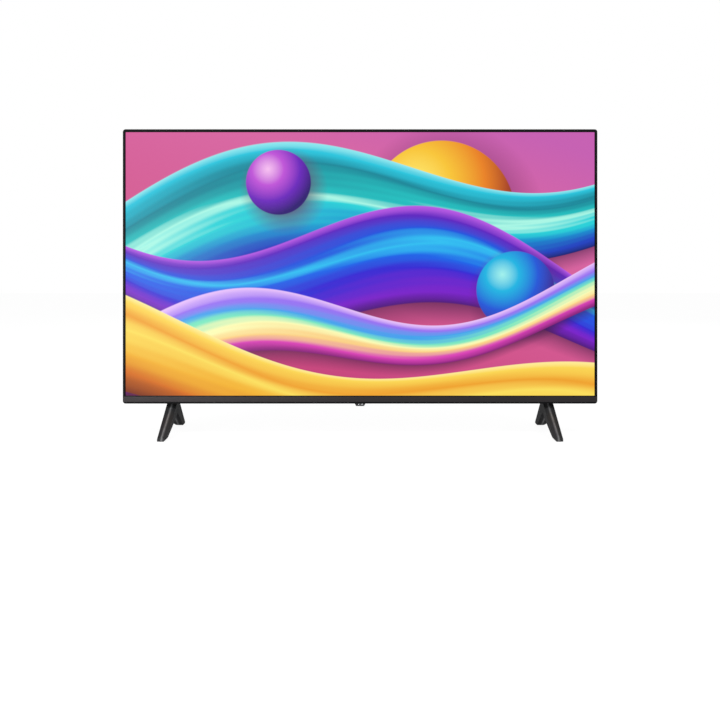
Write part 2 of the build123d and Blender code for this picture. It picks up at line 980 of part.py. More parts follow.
leg_reach = 2 * leg_toe_outer
with BuildPart() as side_outline:
    with BuildSketch(across(foot_x - leg_reach)) as side_face:
        Rectangle(foot_half_depth, cover_bottom - pad_show, align=(Align.MAX, Align.MIN))
        front_corner = side_face.vertices().sort_by(Axis.X).sort_by(Axis.Y)[0]
        fillet(front_corner, toe_round)
    extrude(amount=2 * leg_reach)

side_keep = side_outline.part.moved(Location((0, 0, pad_show)))
with BuildPart() as front_leg:
    add(leg_blank(front_toe_inner))
    add(front_outline(front_toe_inner, toe_big_radius, toe_small_radius), mode=Mode.INTERSECT)
    add(side_keep, mode=Mode.INTERSECT)
with BuildPart() as rear_leg:
    add(leg_blank(rear_toe_inner))
    add(front_outline(rear_toe_inner, toe_small_radius, toe_big_radius), mode=Mode.INTERSECT)
    add(side_keep, mode=Mode.INTERSECT)

pad_middle_y = (foot_half_depth + toe_back) / 2 - pad_show
pad_places = [
    (foot_x + (leg_toe_outer - front_toe_inner) / 2, -pad_middle_y),
    (foot_x + (leg_toe_outer - rear_toe_inner) / 2, pad_middle_y),
]

with BuildPart() as right_foot:
    add(front_leg.part)
    add(rear_leg.part.mirror(Plane.XZ))
    crotch_edge = right_foot.edges().sort_by_distance((foot_x, 0, crotch_height))[0]
    fillet(crotch_edge, crotch_radius)
    for offset in (-foot_screw_offset, foot_screw_offset):
        with Locations((foot_x + offset, 0, cover_bottom)):
            Cylinder(
                foot_screw_hole,
                cover_bottom,
                align=(Align.CENTER, Align.CENTER, Align.MAX),
                mode=Mode.SUBTRACT,
            )
        with Locations((foot_x + offset, 0, cover_bottom - foot_screw_seat_drop)):
            Cylinder(
                foot_screw_well,
                cover_bottom,
                align=(Align.CENTER, Align.CENTER, Align.MAX),
                mode=Mode.SUBTRACT,
            )
    with BuildSketch(level(pad_show)):
        with Locations(*pad_places):
            Rectangle(pad_width, pad_length)
    extrude(amount=pad_thickness - pad_show, mode=Mode.SUBTRACT)
pieces["right_foot"] = right_foot

with BuildPart() as left_foot:
    add(right_foot.part.mirror(Plane.YZ))
pieces["left_foot"] = left_foot

with BuildPart() as foot_pads:
    with BuildSketch(level(0)):
        with Locations(*pad_places, *((-x, y) for x, y in pad_places)):
            Rectangle(pad_width, pad_length)
    extrude(amount=pad_thickness)
pieces["foot_pads"] = foot_pads

# Foot screws go up through the feet and the cover into the brackets
foot_screw_seat = cover_bottom - foot_screw_seat_drop
foot_screw_tip = cover_floor + bracket_thickness + foot_screw_reach
with BuildPart() as foot_screws:
    with BuildSketch(level(foot_screw_seat - foot_screw_head_height)):
        with Locations(*foot_screw_places):
            Circle(foot_screw_head)
    extrude(amount=foot_screw_head_height)
    with BuildSketch(level(foot_screw_seat)):
        with Locations(*foot_screw_places):
            Circle(foot_screw_shank)
    extrude(amount=foot_screw_tip - foot_screw_seat)
    with BuildSketch(level(foot_screw_seat - foot_screw_head_height)):
        with Locations(*foot_screw_places):
            Rectangle(foot_screw_head, foot_screw_head_height / 3)
            Rectangle(foot_screw_head_height / 3, foot_screw_head)
    extrude(amount=foot_screw_head_height / 2, mode=Mode.SUBTRACT)
pieces["foot_screws"] = foot_screws

# Foot brackets: bent steel, one leg on the floor of the cover and one on the chassis
for side, bracket_name in ((-1, "left_foot_bracket"), (1, "right_foot_bracket")):
    bracket_x = around(side * foot_x, bracket_width)
    with BuildPart() as foot_bracket:
        slab(
            bracket_x,
            around(0, bracket_depth),
            (cover_floor, cover_floor + bracket_thickness),
        )
        slab(bracket_x, (floor_back, floor_back + bracket_thickness), (cover_floor, bracket_top))
        window_half = foot_screw_offset + foot_screw_shank + bracket_window_gap
        slab(
            around(side * foot_x, 2 * window_half),
            (floor_back, floor_back + bracket_thickness),
            (cover_floor + bracket_thickness, foot_screw_tip + bracket_window_gap),
            Mode.SUBTRACT,
        )
        with BuildSketch(level(cover_floor)):
            with Locations(*(place for place in foot_screw_places if place[0] * side > 0)):
                Circle(foot_screw_hole)
        extrude(amount=bracket_thickness, mode=Mode.SUBTRACT)
        with BuildSketch(facing_front(floor_back + bracket_thickness)):
            with Locations(*(place for place in bracket_screws if place[0] * side > 0)):
                Circle(cover_screw_hole)
        extrude(amount=bracket_thickness, mode=Mode.SUBTRACT)
    pieces[bracket_name] = foot_bracket

pieces["bracket_screws"] = screws_into_front(
    bracket_screws,
    floor_back + bracket_thickness,
    bracket_screw_head,
    bracket_screw_head_height,
    bracket_screw_radius,
    floor_front - cover_screw_reach,
)

# Sensor tab: a glossy hood under the lower edge with a neck through the bezel
neck_top = shelf_z + tab_neck_rise
with BuildPart() as sensor_tab:
    with BuildSketch(facing_front(tab_middle_y + tab_depth / 2)):
        with BuildLine():
            Polyline(
                (-tab_top_width / 2, body_bottom),
                (tab_top_width / 2, body_bottom),
                (tab_bottom_width / 2, tab_low),
                (-tab_bottom_width / 2, tab_low),
                close=True,
            )
        make_face()
    extrude(amount=tab_depth)
    fillet(sensor_tab.faces().sort_by(Axis.Z)[0].edges(), tab_edge_radius)
    slab(
        around(0, neck_width), around(tab_middle_y, neck_depth), (body_bottom, neck_top)
    )
    slab(
        around(0, tab_cavity_width),
        around(tab_middle_y, tab_cavity_depth),
        (tab_low + tab_floor, neck_top),
        Mode.SUBTRACT,
    )
    slab(
        around(key_offset, key_width + 2 * key_gap),
        around(tab_middle_y, key_depth + 2 * key_gap),
        (tab_low, tab_low + tab_floor),
        Mode.SUBTRACT,
    )
    with Locations((-sensor_offset, tab_middle_y + sensor_spread, tab_low)):
        Cylinder(
            pipe_radius + pipe_gap,
            tab_floor,
            align=(Align.CENTER, Align.CENTER, Align.MIN),
            mode=Mode.SUBTRACT,
        )
pieces["sensor_tab"] = sensor_tab

with BuildPart() as sensor_board:
    slab(
        around(0, sensor_board_length),
        around(tab_middle_y, sensor_board_depth),
        (neck_top, neck_top + sensor_board_thickness),
    )
pieces["sensor_board"] = sensor_board

with BuildPart() as infrared_receiver:
    slab(
        around(-sensor_offset, receiver_width),
        around(tab_middle_y - sensor_spread, receiver_depth),
        (neck_top - receiver_height, neck_top),
    )
pieces["infrared_receiver"] = infrared_receiver

with BuildPart() as light_pipe:
    with Locations((-sensor_offset, tab_middle_y + sensor_spread, tab_low)):
        Cylinder(pipe_radius, neck_top - tab_low, align=(Align.CENTER, Align.CENTER, Align.MIN))
pieces["light_pipe"] = light_pipe

switch_low = neck_top - switch_height
key_plate_low = tab_low + tab_floor
with BuildPart() as key_switch:
    slab(
        around(key_offset, switch_width),
        around(tab_middle_y, switch_depth),
        (switch_low, neck_top),
    )
    with Locations((key_offset, tab_middle_y, switch_low)):
        Cylinder(
            plunger_radius + plunger_gap,
            switch_hole_depth,
            align=(Align.CENTER, Align.CENTER, Align.MIN),
            mode=Mode.SUBTRACT,
        )
pieces["key_switch"] = key_switch

# Power key: a cap in the floor of the tab with the switch plunger on top of it
plunger_top = switch_low + switch_hole_depth - key_travel
with BuildPart() as power_key:
    slab(
        around(key_offset, key_width),
        around(tab_middle_y, key_depth),
        (tab_low - key_proud, key_plate_low),
    )
    fillet(power_key.faces().sort_by(Axis.Z)[0].edges(), key_edge_radius)
    slab(
        around(key_offset, key_width + 2 * (key_gap + key_flange)),
        around(tab_middle_y, key_depth + 2 * (key_gap + key_flange)),
        (key_plate_low, key_plate_low + key_flange_thickness),
    )
pieces["power_key"] = power_key

with BuildPart() as switch_plunger:
    plunger_low = key_plate_low + key_flange_thickness
    with Locations((key_offset, tab_middle_y, plunger_low)):
        Cylinder(
            plunger_radius,
            plunger_top - plunger_low,
            align=(Align.CENTER, Align.CENTER, Align.MIN),
        )
pieces["switch_plunger"] = switch_plunger


# Circuit boards with a hole over each standoff
def circuit_board(left, right, low, high):
    with BuildPart() as board:
        slab((left, right), (board_front, board_back), (low, high))
        with BuildSketch(facing_front(board_back)):
            with Locations(*board_corners(left, right, low, high)):
                Circle(standoff_hole)
        extrude(amount=board_thickness, mode=Mode.SUBTRACT)
    return board


pieces["main_board"] = circuit_board(main_board_left, main_board_right, board_low, main_board_high)
pieces["power_board"] = circuit_board(power_board_left, power_board_right, board_low, power_board_high)
pieces["board_screws"] = screws_into_front(
    board_fixings,
    board_back,
    board_screw_head,
    board_screw_head_height,
    board_screw_radius,
    board_front - board_standoff / 2,
)

# Processor with its heat sink, and the memory chips beside it
chip_x = main_board_left + processor_share * main_board_length
chip_z = board_low + processor_rise_share * main_board_height
with BuildPart() as processor:
    slab(
        around(chip_x, processor_size),
        (board_back, board_back + processor_thickness),
        around(chip_z, processor_size),
    )
pieces["processor"] = processor

sink_front = board_back + processor_thickness
sink_back = sink_front + sink_height
with BuildPart() as heat_sink:
    slab(around(chip_x, sink_size), (sink_front, sink_front + sink_base), around(chip_z, sink_size))
    fin_pitch = (sink_size - sink_fin) / (sink_fins - 1)
    for number in range(sink_fins):
        fin_x = chip_x + (number - (sink_fins - 1) / 2) * fin_pitch
        slab(around(fin_x, sink_fin), (sink_front, sink_back), around(chip_z, sink_size))
pieces["heat_sink"] = heat_sink

with BuildPart() as memory_chips:
    memory_x = chip_x - sink_size / 2 - memory_length
    for number in range(memory_count):
        memory_z = chip_z + (number - (memory_count - 1) / 2) * memory_pitch
        slab(
            around(memory_x, memory_length),
            (board_back, board_back + memory_thickness),
            around(memory_z, memory_width),
        )
pieces["memory_chips"] = memory_chips

# Tuner can and its threaded antenna barrel
with BuildPart() as tuner_can:
    slab(
        (main_board_right - can_length, main_board_right),
        (board_back, board_back + can_height),
        around(antenna_z, can_width),
    )
    fillet(tuner_can.faces().sort_by(Axis.Y)[-1].edges(), can_rim)
pieces["tuner_can"] = tuner_can

with BuildPart() as antenna_socket:
    with BuildSketch(across(main_board_right)):
        with Locations((barrel_y, antenna_z)):
            Circle(barrel_radius)
    extrude(amount=bay_wall_x - main_board_right + barrel_reach)
    with BuildSketch(across(bay_wall_x)):
        with Locations((barrel_y, antenna_z)):
            RegularPolygon(barrel_flange, 6)
    extrude(amount=barrel_flange_thickness)
    with BuildSketch(across(bay_wall_x)):
        with Locations((barrel_y, antenna_z)):
            Circle(barrel_bore)
    extrude(amount=barrel_reach, mode=Mode.SUBTRACT)
pieces["antenna_socket"] = antenna_socket


# Plug sockets: a metal shell with a mouth in its outer end and a tongue in the mouth
def tongue_sockets(levels, width, height, depth, shell, mouth_depth, tongue, mouth_x):
    with BuildPart() as sockets:
        for z in levels:
            slab((mouth_x - depth, mouth_x), (board_back, board_back + height), around(z, width))
            slab(
                (mouth_x - mouth_depth, mouth_x),
                (board_back + shell, board_back + height - shell),
                around(z, width - 2 * shell),
                Mode.SUBTRACT,
            )
            slab(
                (mouth_x - mouth_depth, mouth_x - shell),
                around(board_back + height / 2, tongue),
                around(z, width - 2 * shell - 2 * tongue),
            )
    return sockets


pieces["video_sockets"] = tongue_sockets(
    video_levels, video_width, video_height, video_depth, video_shell, video_mouth_depth, video_tongue, bay_wall_x
)
pieces["data_sockets"] = tongue_sockets(
    data_levels, data_width, data_height, data_depth, data_shell, data_mouth_depth, data_tongue, bay_wall_x
)

with BuildPart() as network_socket:
    slab(
        (bay_wall_x - network_depth, bay_wall_x),
        (board_back, board_back + network_height),
        around(network_z, network_width),
    )
    slab(
        (bay_wall_x - network_mouth_depth, bay_wall_x),
        around(board_back + network_height / 2, network_mouth_height),
        around(network_z, network_mouth_width),
        Mode.SUBTRACT,
    )
pieces["network_socket"] = network_socket

with BuildPart() as audio_jack:
    slab(
        (bay_wall_x - jack_depth, bay_wall_x),
        (board_back, board_back + jack_size),
        around(jack_z, jack_size),
    )
    with BuildSketch(across(bay_wall_x)):
        with Locations((board_back + jack_size / 2, jack_z)):
            Circle(jack_bore)
    extrude(amount=-jack_bore_depth, mode=Mode.SUBTRACT)
pieces["audio_jack"] = audio_jack

# Panel cable: a flat ribbon from the source board, under the chassis and up its back to
# a connector at the foot of the main board
connector_low = board_low + ribbon_connector_margin
ribbon_level = shelf_z + source_board_height / 2
ribbon_x = main_board_left + ribbon_inset
ribbon_start = cell_front + source_board_thickness
ribbon_rise_y = floor_back + 2 * ribbon_bend
ribbon_turn_z = board_low - 2 * ribbon_bend
ribbon_end_y = board_back + ribbon_connector_depth / 2
with BuildPart() as panel_cable:
    with BuildSketch(across(ribbon_x - ribbon_width / 2)):
        with BuildLine():
            FilletPolyline(
                (ribbon_start, ribbon_level),
                (ribbon_rise_y, ribbon_level),
                (ribbon_rise_y, ribbon_turn_z),
                (ribbon_end_y, ribbon_turn_z),
                (ribbon_end_y, connector_low),
                radius=ribbon_bend,
            )
        trace(line_width=ribbon_thickness)
    extrude(amount=ribbon_width)
pieces["panel_cable"] = panel_cable

# Power board parts
power_x = (power_board_left + power_board_right) / 2
power_z = (board_low + power_board_high) / 2
with BuildPart() as transformers:
    for number in range(transformer_count):
        core_z = power_z + (number - (transformer_count - 1) / 2) * transformer_pitch
        core_y = (board_back, board_back + transformer_depth)
        slab(around(power_x, transformer_width), core_y, around(core_z, transformer_height))
        slab(
            around(power_x, transformer_width - 4 * coil_overhang),
            (board_back, board_back + transformer_depth - coil_overhang),
            around(core_z, transformer_height + 2 * coil_overhang),
        )
pieces["transformers"] = transformers

big_can_x = power_board_right - 2 * big_can_radius
big_can_z = power_board_high - 3 * big_can_radius
small_can_x = power_board_right - 4 * small_can_radius
small_cans = [
    (small_can_x, power_z - big_can_radius - number * small_can_pitch)
    for number in range(small_can_count)
]
with BuildPart() as capacitors:
    with BuildSketch(facing_front(board_back + big_can_height)):
        with Locations((big_can_x, big_can_z)):
            Circle(big_can_radius)
    extrude(amount=big_can_height)
    with BuildSketch(facing_front(board_back + small_can_height)):
        with Locations(*small_cans):
            Circle(small_can_radius)
    extrude(amount=small_can_height)
    round_edges = capacitors.edges().filter_by(GeomType.CIRCLE)
    fillet(round_edges.filter_by(lambda edge: edge.center().Y > board_back + can_rim), can_rim)
pieces["capacitors"] = capacitors

with BuildPart() as power_heat_sinks:
    for number in range(power_sink_count):
        sink_x = power_x + (number - (power_sink_count - 1) / 2) * power_sink_pitch
        sink_z = around(power_z, power_sink_length)
        slab(
            around(sink_x, power_sink_thickness),
            (board_back, board_back + power_sink_height),
            sink_z,
        )
        slab(
            around(sink_x, power_sink_foot),
            (
                board_back + power_sink_height - power_sink_thickness,
                board_back + power_sink_height,
            ),
            sink_z,
        )
pieces["power_heat_sinks"] = power_heat_sinks

# Mains inlet: a two-pin socket whose mouth is in the wall of the inlet bay
inlet_y = board_back + inlet_height / 2
with BuildPart() as mains_inlet:
    slab(
        (-bay_wall_x, inlet_depth - bay_wall_x),
        (board_back, board_back + inlet_height),
        around(inlet_z, inlet_width),
    )
    with BuildSketch(across(-bay_wall_x)):
        with Locations((inlet_y, inlet_z)):
            SlotOverall(inlet_mouth_length, inlet_mouth_width, rotation=90)
    extrude(amount=inlet_mouth_depth, mode=Mode.SUBTRACT)
    with BuildSketch(across(inlet_mouth_depth - bay_wall_x)):
        with Locations((inlet_y, inlet_z)):
            with GridLocations(0, inlet_pin_pitch, 1, 2):
                Circle(inlet_pin_radius)
    extrude(amount=-inlet_pin_length)
pieces["mains_inlet"] = mains_inlet

# Power harness between the two boards, lying on the back of the chassis
harness_z = board_low + harness_rise_share * power_board_height
harness_plug_y = board_back + harness_connector_depth / 2
harness_run_y = floor_back + harness_radius
harness_left = power_board_right - harness_connector_length
harness_right = main_board_left + harness_connector_length
with BuildPart() as board_connectors:
    for near, far in ((harness_left, power_board_right), (main_board_left, harness_right)):
        slab(
            (near, far),
            (board_back, board_back + harness_connector_depth),
            around(harness_z, harness_connector_width),
        )
    slab(
        around(ribbon_x, ribbon_width + 2 * ribbon_connector_margin),
        (board_back, board_back + ribbon_connector_depth),
        (connector_low, connector_low + ribbon_connector_height),
    )
pieces["board_connectors"] = board_connectors

harness_drop_left = power_board_right + 2 * harness_bend
harness_drop_right = main_board_left - 2 * harness_bend
with BuildPart() as power_harness:
    with BuildLine(Plane.XY.offset(harness_z)) as harness_route:
        FilletPolyline(
            (power_board_right, harness_plug_y),
            (harness_drop_left, harness_plug_y),
            (harness_drop_left, harness_run_y),
            (harness_drop_right, harness_run_y),
            (harness_drop_right, harness_plug_y),
            (main_board_left, harness_plug_y),
            radius=harness_bend - harness_radius / 2,
        )
    with BuildSketch(across(power_board_right)):
        with Locations((harness_plug_y, harness_z)):
            Circle(harness_radius)
    sweep()
pieces["power_harness"] = power_harness

# Loudspeakers: a closed box on pads, with a driver over a hole in its floor and a cone
# that moves up and down on its coil
box_low = cover_floor + speaker_pad_height
box_floor = box_low + speaker_box_wall
flange_top = box_floor + driver_flange_thickness
basket_top = box_floor + basket_depth
magnet_top = basket_top + magnet_height
gap_outer = pole_radius + coil_gap_width
coil_middle = pole_radius + coil_gap_width / 2
cone_low = box_floor + cone_lift
cone_neck = cone_low + cone_rise
coil_top = basket_top + coil_reach

with BuildPart() as speaker_pads:
    for side in (-1, 1):
        for end in (-1, 1):
            pad_x = side * speaker_x + end * (speaker_box_length - speaker_pad_length) / 2
            slab(
                around(pad_x, speaker_pad_length),
                around(speaker_y, speaker_box_depth),
                (cover_floor, box_low),
            )
pieces["speaker_pads"] = speaker_pads


def profile_plane(side):
    # local x is the radius and local y is the height, through the driver's axis
    return Plane(origin=(side * speaker_x, speaker_y, 0), x_dir=(1, 0, 0), z_dir=(0, -1, 0))


for side, side_name in ((-1, "left"), (1, "right")):
    with BuildPart() as speaker_box:
        with BuildSketch(level(box_low)):
            with Locations((side * speaker_x, speaker_y)):
                RectangleRounded(speaker_box_length, speaker_box_depth, speaker_box_radius)
        extrude(amount=speaker_box_height)
        slab(
            around(side * speaker_x, speaker_box_length - 2 * speaker_box_wall),
            around(speaker_y, speaker_box_depth - 2 * speaker_box_wall),
            (box_floor, box_low + speaker_box_height - speaker_box_wall),
            Mode.SUBTRACT,
        )
        with BuildSketch(level(box_low)):
            with Locations((side * speaker_x, speaker_y)):
                Circle(driver_opening_radius)
        extrude(amount=speaker_box_wall, mode=Mode.SUBTRACT)
    pieces[f"speaker_box_{side_name}"] = speaker_box

    driver_axis = Axis((side * speaker_x, speaker_y, 0), (0, 0, 1))
    with BuildPart() as speaker_driver:
        with BuildSketch(profile_plane(side)):
            with BuildLine():
                Polyline(
                    (driver_opening_radius, box_floor),
                    (driver_flange_radius, box_floor),
                    (driver_flange_radius, flange_top),
                    (driver_opening_radius + basket_wall, flange_top),
                    (magnet_radius + basket_wall, basket_top),
                    (magnet_radius, basket_top),
                    (magnet_radius, magnet_top),
                    (0, magnet_top),
                    (0, basket_top),
                    (pole_radius, basket_top),
                    (pole_radius, basket_top + coil_gap_depth),
                    (gap_outer, basket_top + coil_gap_depth),
                    (gap_outer, basket_top),
                    (magnet_radius - basket_wall, basket_top),
                    (driver_opening_radius, flange_top),
                    close=True,
                )
            make_face()
        revolve(axis=driver_axis)
    pieces[f"speaker_driver_{side_name}"] = speaker_driver

    with BuildPart() as speaker_cone:
        with BuildSketch(profile_plane(side)):
            with BuildLine():
                Polyline(
                    (0, cone_neck - cone_thickness),
                    (coil_middle, cone_neck - cone_thickness),
                    (cone_radius, cone_low),
                    (cone_radius, cone_low + cone_thickness),
                    (coil_middle + coil_wall / 2, cone_neck),
                    (coil_middle + coil_wall / 2, coil_top),
                    (coil_middle - coil_wall / 2, coil_top),
                    (coil_middle - coil_wall / 2, cone_neck),
                    (0, cone_neck),
                    close=True,
                )
            make_face()
        revolve(axis=driver_axis)
    pieces[f"speaker_cone_{side_name}"] = speaker_cone

os.makedirs("parts", exist_ok=True)
for name, piece in pieces.items():
    piece.part.label = name
    export_step(piece.part, f"parts/{name}.step")
print(len(pieces), "pieces")
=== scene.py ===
import json
import math

import bmesh
import bpy
from mathutils import Matrix, Vector


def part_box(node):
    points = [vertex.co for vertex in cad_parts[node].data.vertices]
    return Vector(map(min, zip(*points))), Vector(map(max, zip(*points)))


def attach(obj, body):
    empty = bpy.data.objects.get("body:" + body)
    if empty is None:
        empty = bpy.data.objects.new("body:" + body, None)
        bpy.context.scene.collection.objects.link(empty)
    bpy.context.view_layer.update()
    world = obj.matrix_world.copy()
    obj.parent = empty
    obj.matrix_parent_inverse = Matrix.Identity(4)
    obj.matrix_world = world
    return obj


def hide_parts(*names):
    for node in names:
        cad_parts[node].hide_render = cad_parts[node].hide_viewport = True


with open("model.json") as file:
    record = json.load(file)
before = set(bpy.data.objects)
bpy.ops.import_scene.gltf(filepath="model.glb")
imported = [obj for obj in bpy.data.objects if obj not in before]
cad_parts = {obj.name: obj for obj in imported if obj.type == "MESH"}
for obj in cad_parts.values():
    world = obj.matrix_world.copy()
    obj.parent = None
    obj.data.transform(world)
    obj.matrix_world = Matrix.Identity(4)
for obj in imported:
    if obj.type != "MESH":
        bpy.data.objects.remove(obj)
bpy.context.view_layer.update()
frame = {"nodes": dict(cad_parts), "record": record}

# The looks of a flat screen television on two V-shaped feet. Metres, Z up, the screen
# faces -Y, and the floor is z = 0.

millimetre = 0.001
print("frame loaded")


# Camera

cameraSettings = {
    "place": (0.0, -1.9, 0.375),
    "lens": 46.5,
    "sensor": 36.0,
    "imageSize": 720.0,
    "horizonRow": 249.0,
    "middleColumn": 360.1,
}


def makeCamera(settings):
    data = bpy.data.cameras.new("photoCamera")
    data.lens = settings["lens"]
    data.sensor_width = settings["sensor"]
    middle = settings["imageSize"] / 2
    data.shift_x = (middle - settings["middleColumn"]) / settings["imageSize"]
    data.shift_y = (settings["horizonRow"] - middle) / settings["imageSize"]
    camera = bpy.data.objects.new("photoCamera", data)
    camera.location = settings["place"]
    camera.rotation_euler = (math.radians(90), 0, 0)
    bpy.context.scene.collection.objects.link(camera)
    bpy.context.scene.camera = camera


makeCamera(cameraSettings)
bpy.context.scene.view_settings.view_transform = "Standard"


# Shader nodes

# where a Mix node keeps its share, its two colours and its colour result
mixShare, mixLow, mixHigh, mixResult = 0, 6, 7, 2
white = (1, 1, 1, 1)
black = (0, 0, 0, 1)


class Wire:
    # one output of a node, with the shader's sums written as Python sums
    def __init__(self, tree, socket=None):
        self.tree = tree
        self.socket = socket

    def node(self, kind, settings=None, inputs=None, output=0):
        made = self.tree.nodes.new("ShaderNode" + kind)
        for name, value in (settings or {}).items():
            if name == "stops":
                fillRamp(made.color_ramp, value)
            else:
                setattr(made, name, value)
        for name, value in (inputs or {}).items():
            if isinstance(value, Wire):
                self.tree.links.new(value.socket, made.inputs[name])
            else:
                made.inputs[name].default_value = value
        return Wire(self.tree, made.outputs[output] if made.outputs else None)

    def others(self, *names):
        # these outputs of the same node
        outputs = self.socket.node.outputs
        return [Wire(self.tree, outputs[name]) for name in names]

    def math(self, operation, *values):
        return self.node("Math", {"operation": operation}, dict(enumerate((self, *values))))

    def __add__(self, other):
        return self.math("ADD", other)

    def __sub__(self, other):
        return self.math("SUBTRACT", other)

    def __rsub__(self, other):
        return self.node("Math", {"operation": "SUBTRACT"}, {0: other, 1: self})

    def __mul__(self, other):
        return self.math("MULTIPLY", other)

    def __truediv__(self, other):
        return self.math("DIVIDE", other)

    def __abs__(self):
        return self.math("ABSOLUTE")

    __radd__ = __add__
    __rmul__ = __mul__

    def sine(self):
        return self.math("SINE")

    def limited(self):
        return self.node("Clamp", {}, {"Value": self})

    def ramp(self, stops):
        return self.node("ValToRGB", {"stops": stops}, {0: self})

    def between(self, low, high):
        # this value goes from 0 to 1, and the colour from low to high
        inputs = {mixShare: self, mixLow: low, mixHigh: high}
        return self.node("Mix", {"data_type": "RGBA"}, inputs, output=mixResult)


def fillRamp(ramp, stops):
    while len(ramp.elements) > 1:
        ramp.elements.remove(ramp.elements[-1])
    ramp.elements[0].position = stops[0][0]
    ramp.elements[0].color = stops[0][1]
    for position, colour in stops[1:]:
        ramp.elements.new(position).color = colour


def paint(red, green, blue):
    # a colour as it shows on a display, from 0 to 255, made linear by the usual display curve
    def linear(level):
        share = level / 255
        return share / 12.92 if share <= 0.04045 else ((share + 0.055) / 1.055) ** 2.4
    return linear(red), linear(green), linear(blue), 1.0


def emptyMaterial(name):
    material = bpy.data.materials.new(name)
    material.use_nodes = True
    material.node_tree.nodes.clear()
    return material, Wire(material.node_tree)


def closeMaterial(wire, surface):
    wire.node("OutputMaterial", {}, {"Surface": surface})


def mixShaders(wire, share, first, second):
    return wire.node("MixShader", {}, {0: share, 1: first, 2: second})


# Lamps, world and floor

lampSettings = {
    "overLeftFoot": {
        "place": (-0.75, -0.75, 1.3), "aim": (-0.39, -0.06, 0.03), "size": (0.5, 0.3), "power": 9,
    },
    "overRightFoot": {
        "place": (0.75, -0.75, 1.3), "aim": (0.39, -0.06, 0.03), "size": (0.5, 0.3), "power": 9,
    },
    "lowLeft": {
        "place": (-0.85, -1.9, 0.22), "aim": (-0.3, 0, 0.1), "size": (0.7, 0.35), "power": 13,
    },
    "highLeft": {
        "place": (-2.1, -2.1, 1.6), "aim": (0, 0, 0.3), "size": (1.4, 1.2), "power": 22,
    },
    "rightSide": {
        "place": (2.3, -1.6, 1.5), "aim": (0, 0, 0.3), "size": (1.2, 1.2), "power": 6,
    },
    "behind": {
        "place": (0.6, 2.4, 1.7), "aim": (0, 0, 0.3), "size": (1.8, 1.2), "power": 24,
    },
}
worldSettings = {"soft": 0.5, "seen": 1.0}
floorSettings = {
    "half": 6.0,
    "colour": paint(226, 226, 226),
    "shownGlow": 0.93,
    "shownColour": paint(92, 92, 92),
}


def makeLamp(name, settings):
    data = bpy.data.lights.new(name, "AREA")
    data.shape = "RECTANGLE"
    data.size, data.size_y = settings["size"]
    data.energy = settings["power"]
    lamp = bpy.data.objects.new(name, data)
    lamp.location = settings["place"]
    aim = Vector(settings["aim"]) - Vector(settings["place"])
    lamp.rotation_euler = aim.to_track_quat("-Z", "Y").to_euler()
    bpy.context.scene.collection.objects.link(lamp)


def seenDirectly(wire):
    # 1 for what the camera, a mirror or a clear piece sees, 0 for the light on a surface
    path = wire.node("LightPath")
    mirrored, through = path.others("Is Glossy Ray", "Is Transmission Ray")
    return path.math("MAXIMUM", mirrored).math("MAXIMUM", through)


def makeWorld(settings):
    world = bpy.data.worlds.new("studioWorld")
    world.use_nodes = True
    world.node_tree.nodes.clear()
    wire = Wire(world.node_tree)
    soft = wire.node("Background", {}, {"Color": white, "Strength": settings["soft"]})
    seen = wire.node("Background", {}, {"Color": white, "Strength": settings["seen"]})
    wire.node("OutputWorld", {}, {"Surface": mixShaders(wire, seenDirectly(wire), soft, seen)})
    bpy.context.scene.world = world


def makeFloor(settings):
    shape = bmesh.new()
    bmesh.ops.create_grid(shape, x_segments=1, y_segments=1, size=settings["half"])
    mesh = bpy.data.meshes.new("studioFloor")
    shape.to_mesh(mesh)
    shape.free()
    floor = bpy.data.objects.new("studioFloor", mesh)
    bpy.context.scene.collection.objects.link(floor)
    material, wire = emptyMaterial("floorPaint")
    plain = wire.node("BsdfDiffuse", {}, {"Color": settings["colour"]})
    shadowed = wire.node("BsdfDiffuse", {}, {"Color": settings["shownColour"]})
    glow = wire.node("Emission", {}, {"Color": white, "Strength": settings["shownGlow"]})
    shown = wire.node("AddShader", {}, {0: shadowed, 1: glow})
    top = mixShaders(wire, seenDirectly(wire), plain, shown)
    underside = wire.node("NewGeometry", {}, {}, output="Backfacing")
    closeMaterial(wire, mixShaders(wire, underside, top, wire.node("BsdfTransparent")))
    mesh.materials.append(material)


for lampName, lampValues in lampSettings.items():
    makeLamp(lampName, lampValues)
makeWorld(worldSettings)
makeFloor(floorSettings)
print("camera, lamps and floor made")


# Finishes: each one is made from the place on the piece, so it stays with the piece

noiseMiddle = 0.5
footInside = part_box("right_foot")[0].x    # from the middle of the set to the inner side of a foot


def placeOf(wire):
    return wire.node("TexCoord", {}, {}, output="Object")


def coordinates(wire, *names):
    return wire.node("SeparateXYZ", {}, {0: placeOf(wire)}).others(*names)


def noiseOf(wire, size, detail, stretch=(1, 1, 1)):
    # smooth noise whose lumps are about this size in metres, from 0 to 1
    scaled = wire.node("Mapping", {}, {"Vector": placeOf(wire), "Scale": stretch})
    inputs = {"Vector": scaled, "Scale": 1 / size, "Detail": detail}
    return wire.node("TexNoise", {"noise_dimensions": "3D"}, inputs)


def blend(first, second, share):
    return first * share + second * (1 - share)


def varied(middle, noise, spread):
    return middle + (noise - noiseMiddle) * spread


def bumpOf(wire, height, marks):
    inputs = {"Height": height, "Strength": marks["relief"], "Distance": marks["depth"]}
    return wire.node("Bump", {}, inputs)


def coverWith(wire, inputs):
    closeMaterial(wire, wire.node("BsdfPrincipled", {}, inputs))


plasticMarks = {
    "grainDetail": 3.0,
    "flow": {"size": 0.09, "detail": 3.0, "stretch": (1, 1, 2.5)},
    "rubbed": {"size": 0.018, "detail": 4.0},
    "flowShare": 0.6,
    "gloss": 0.5,
}


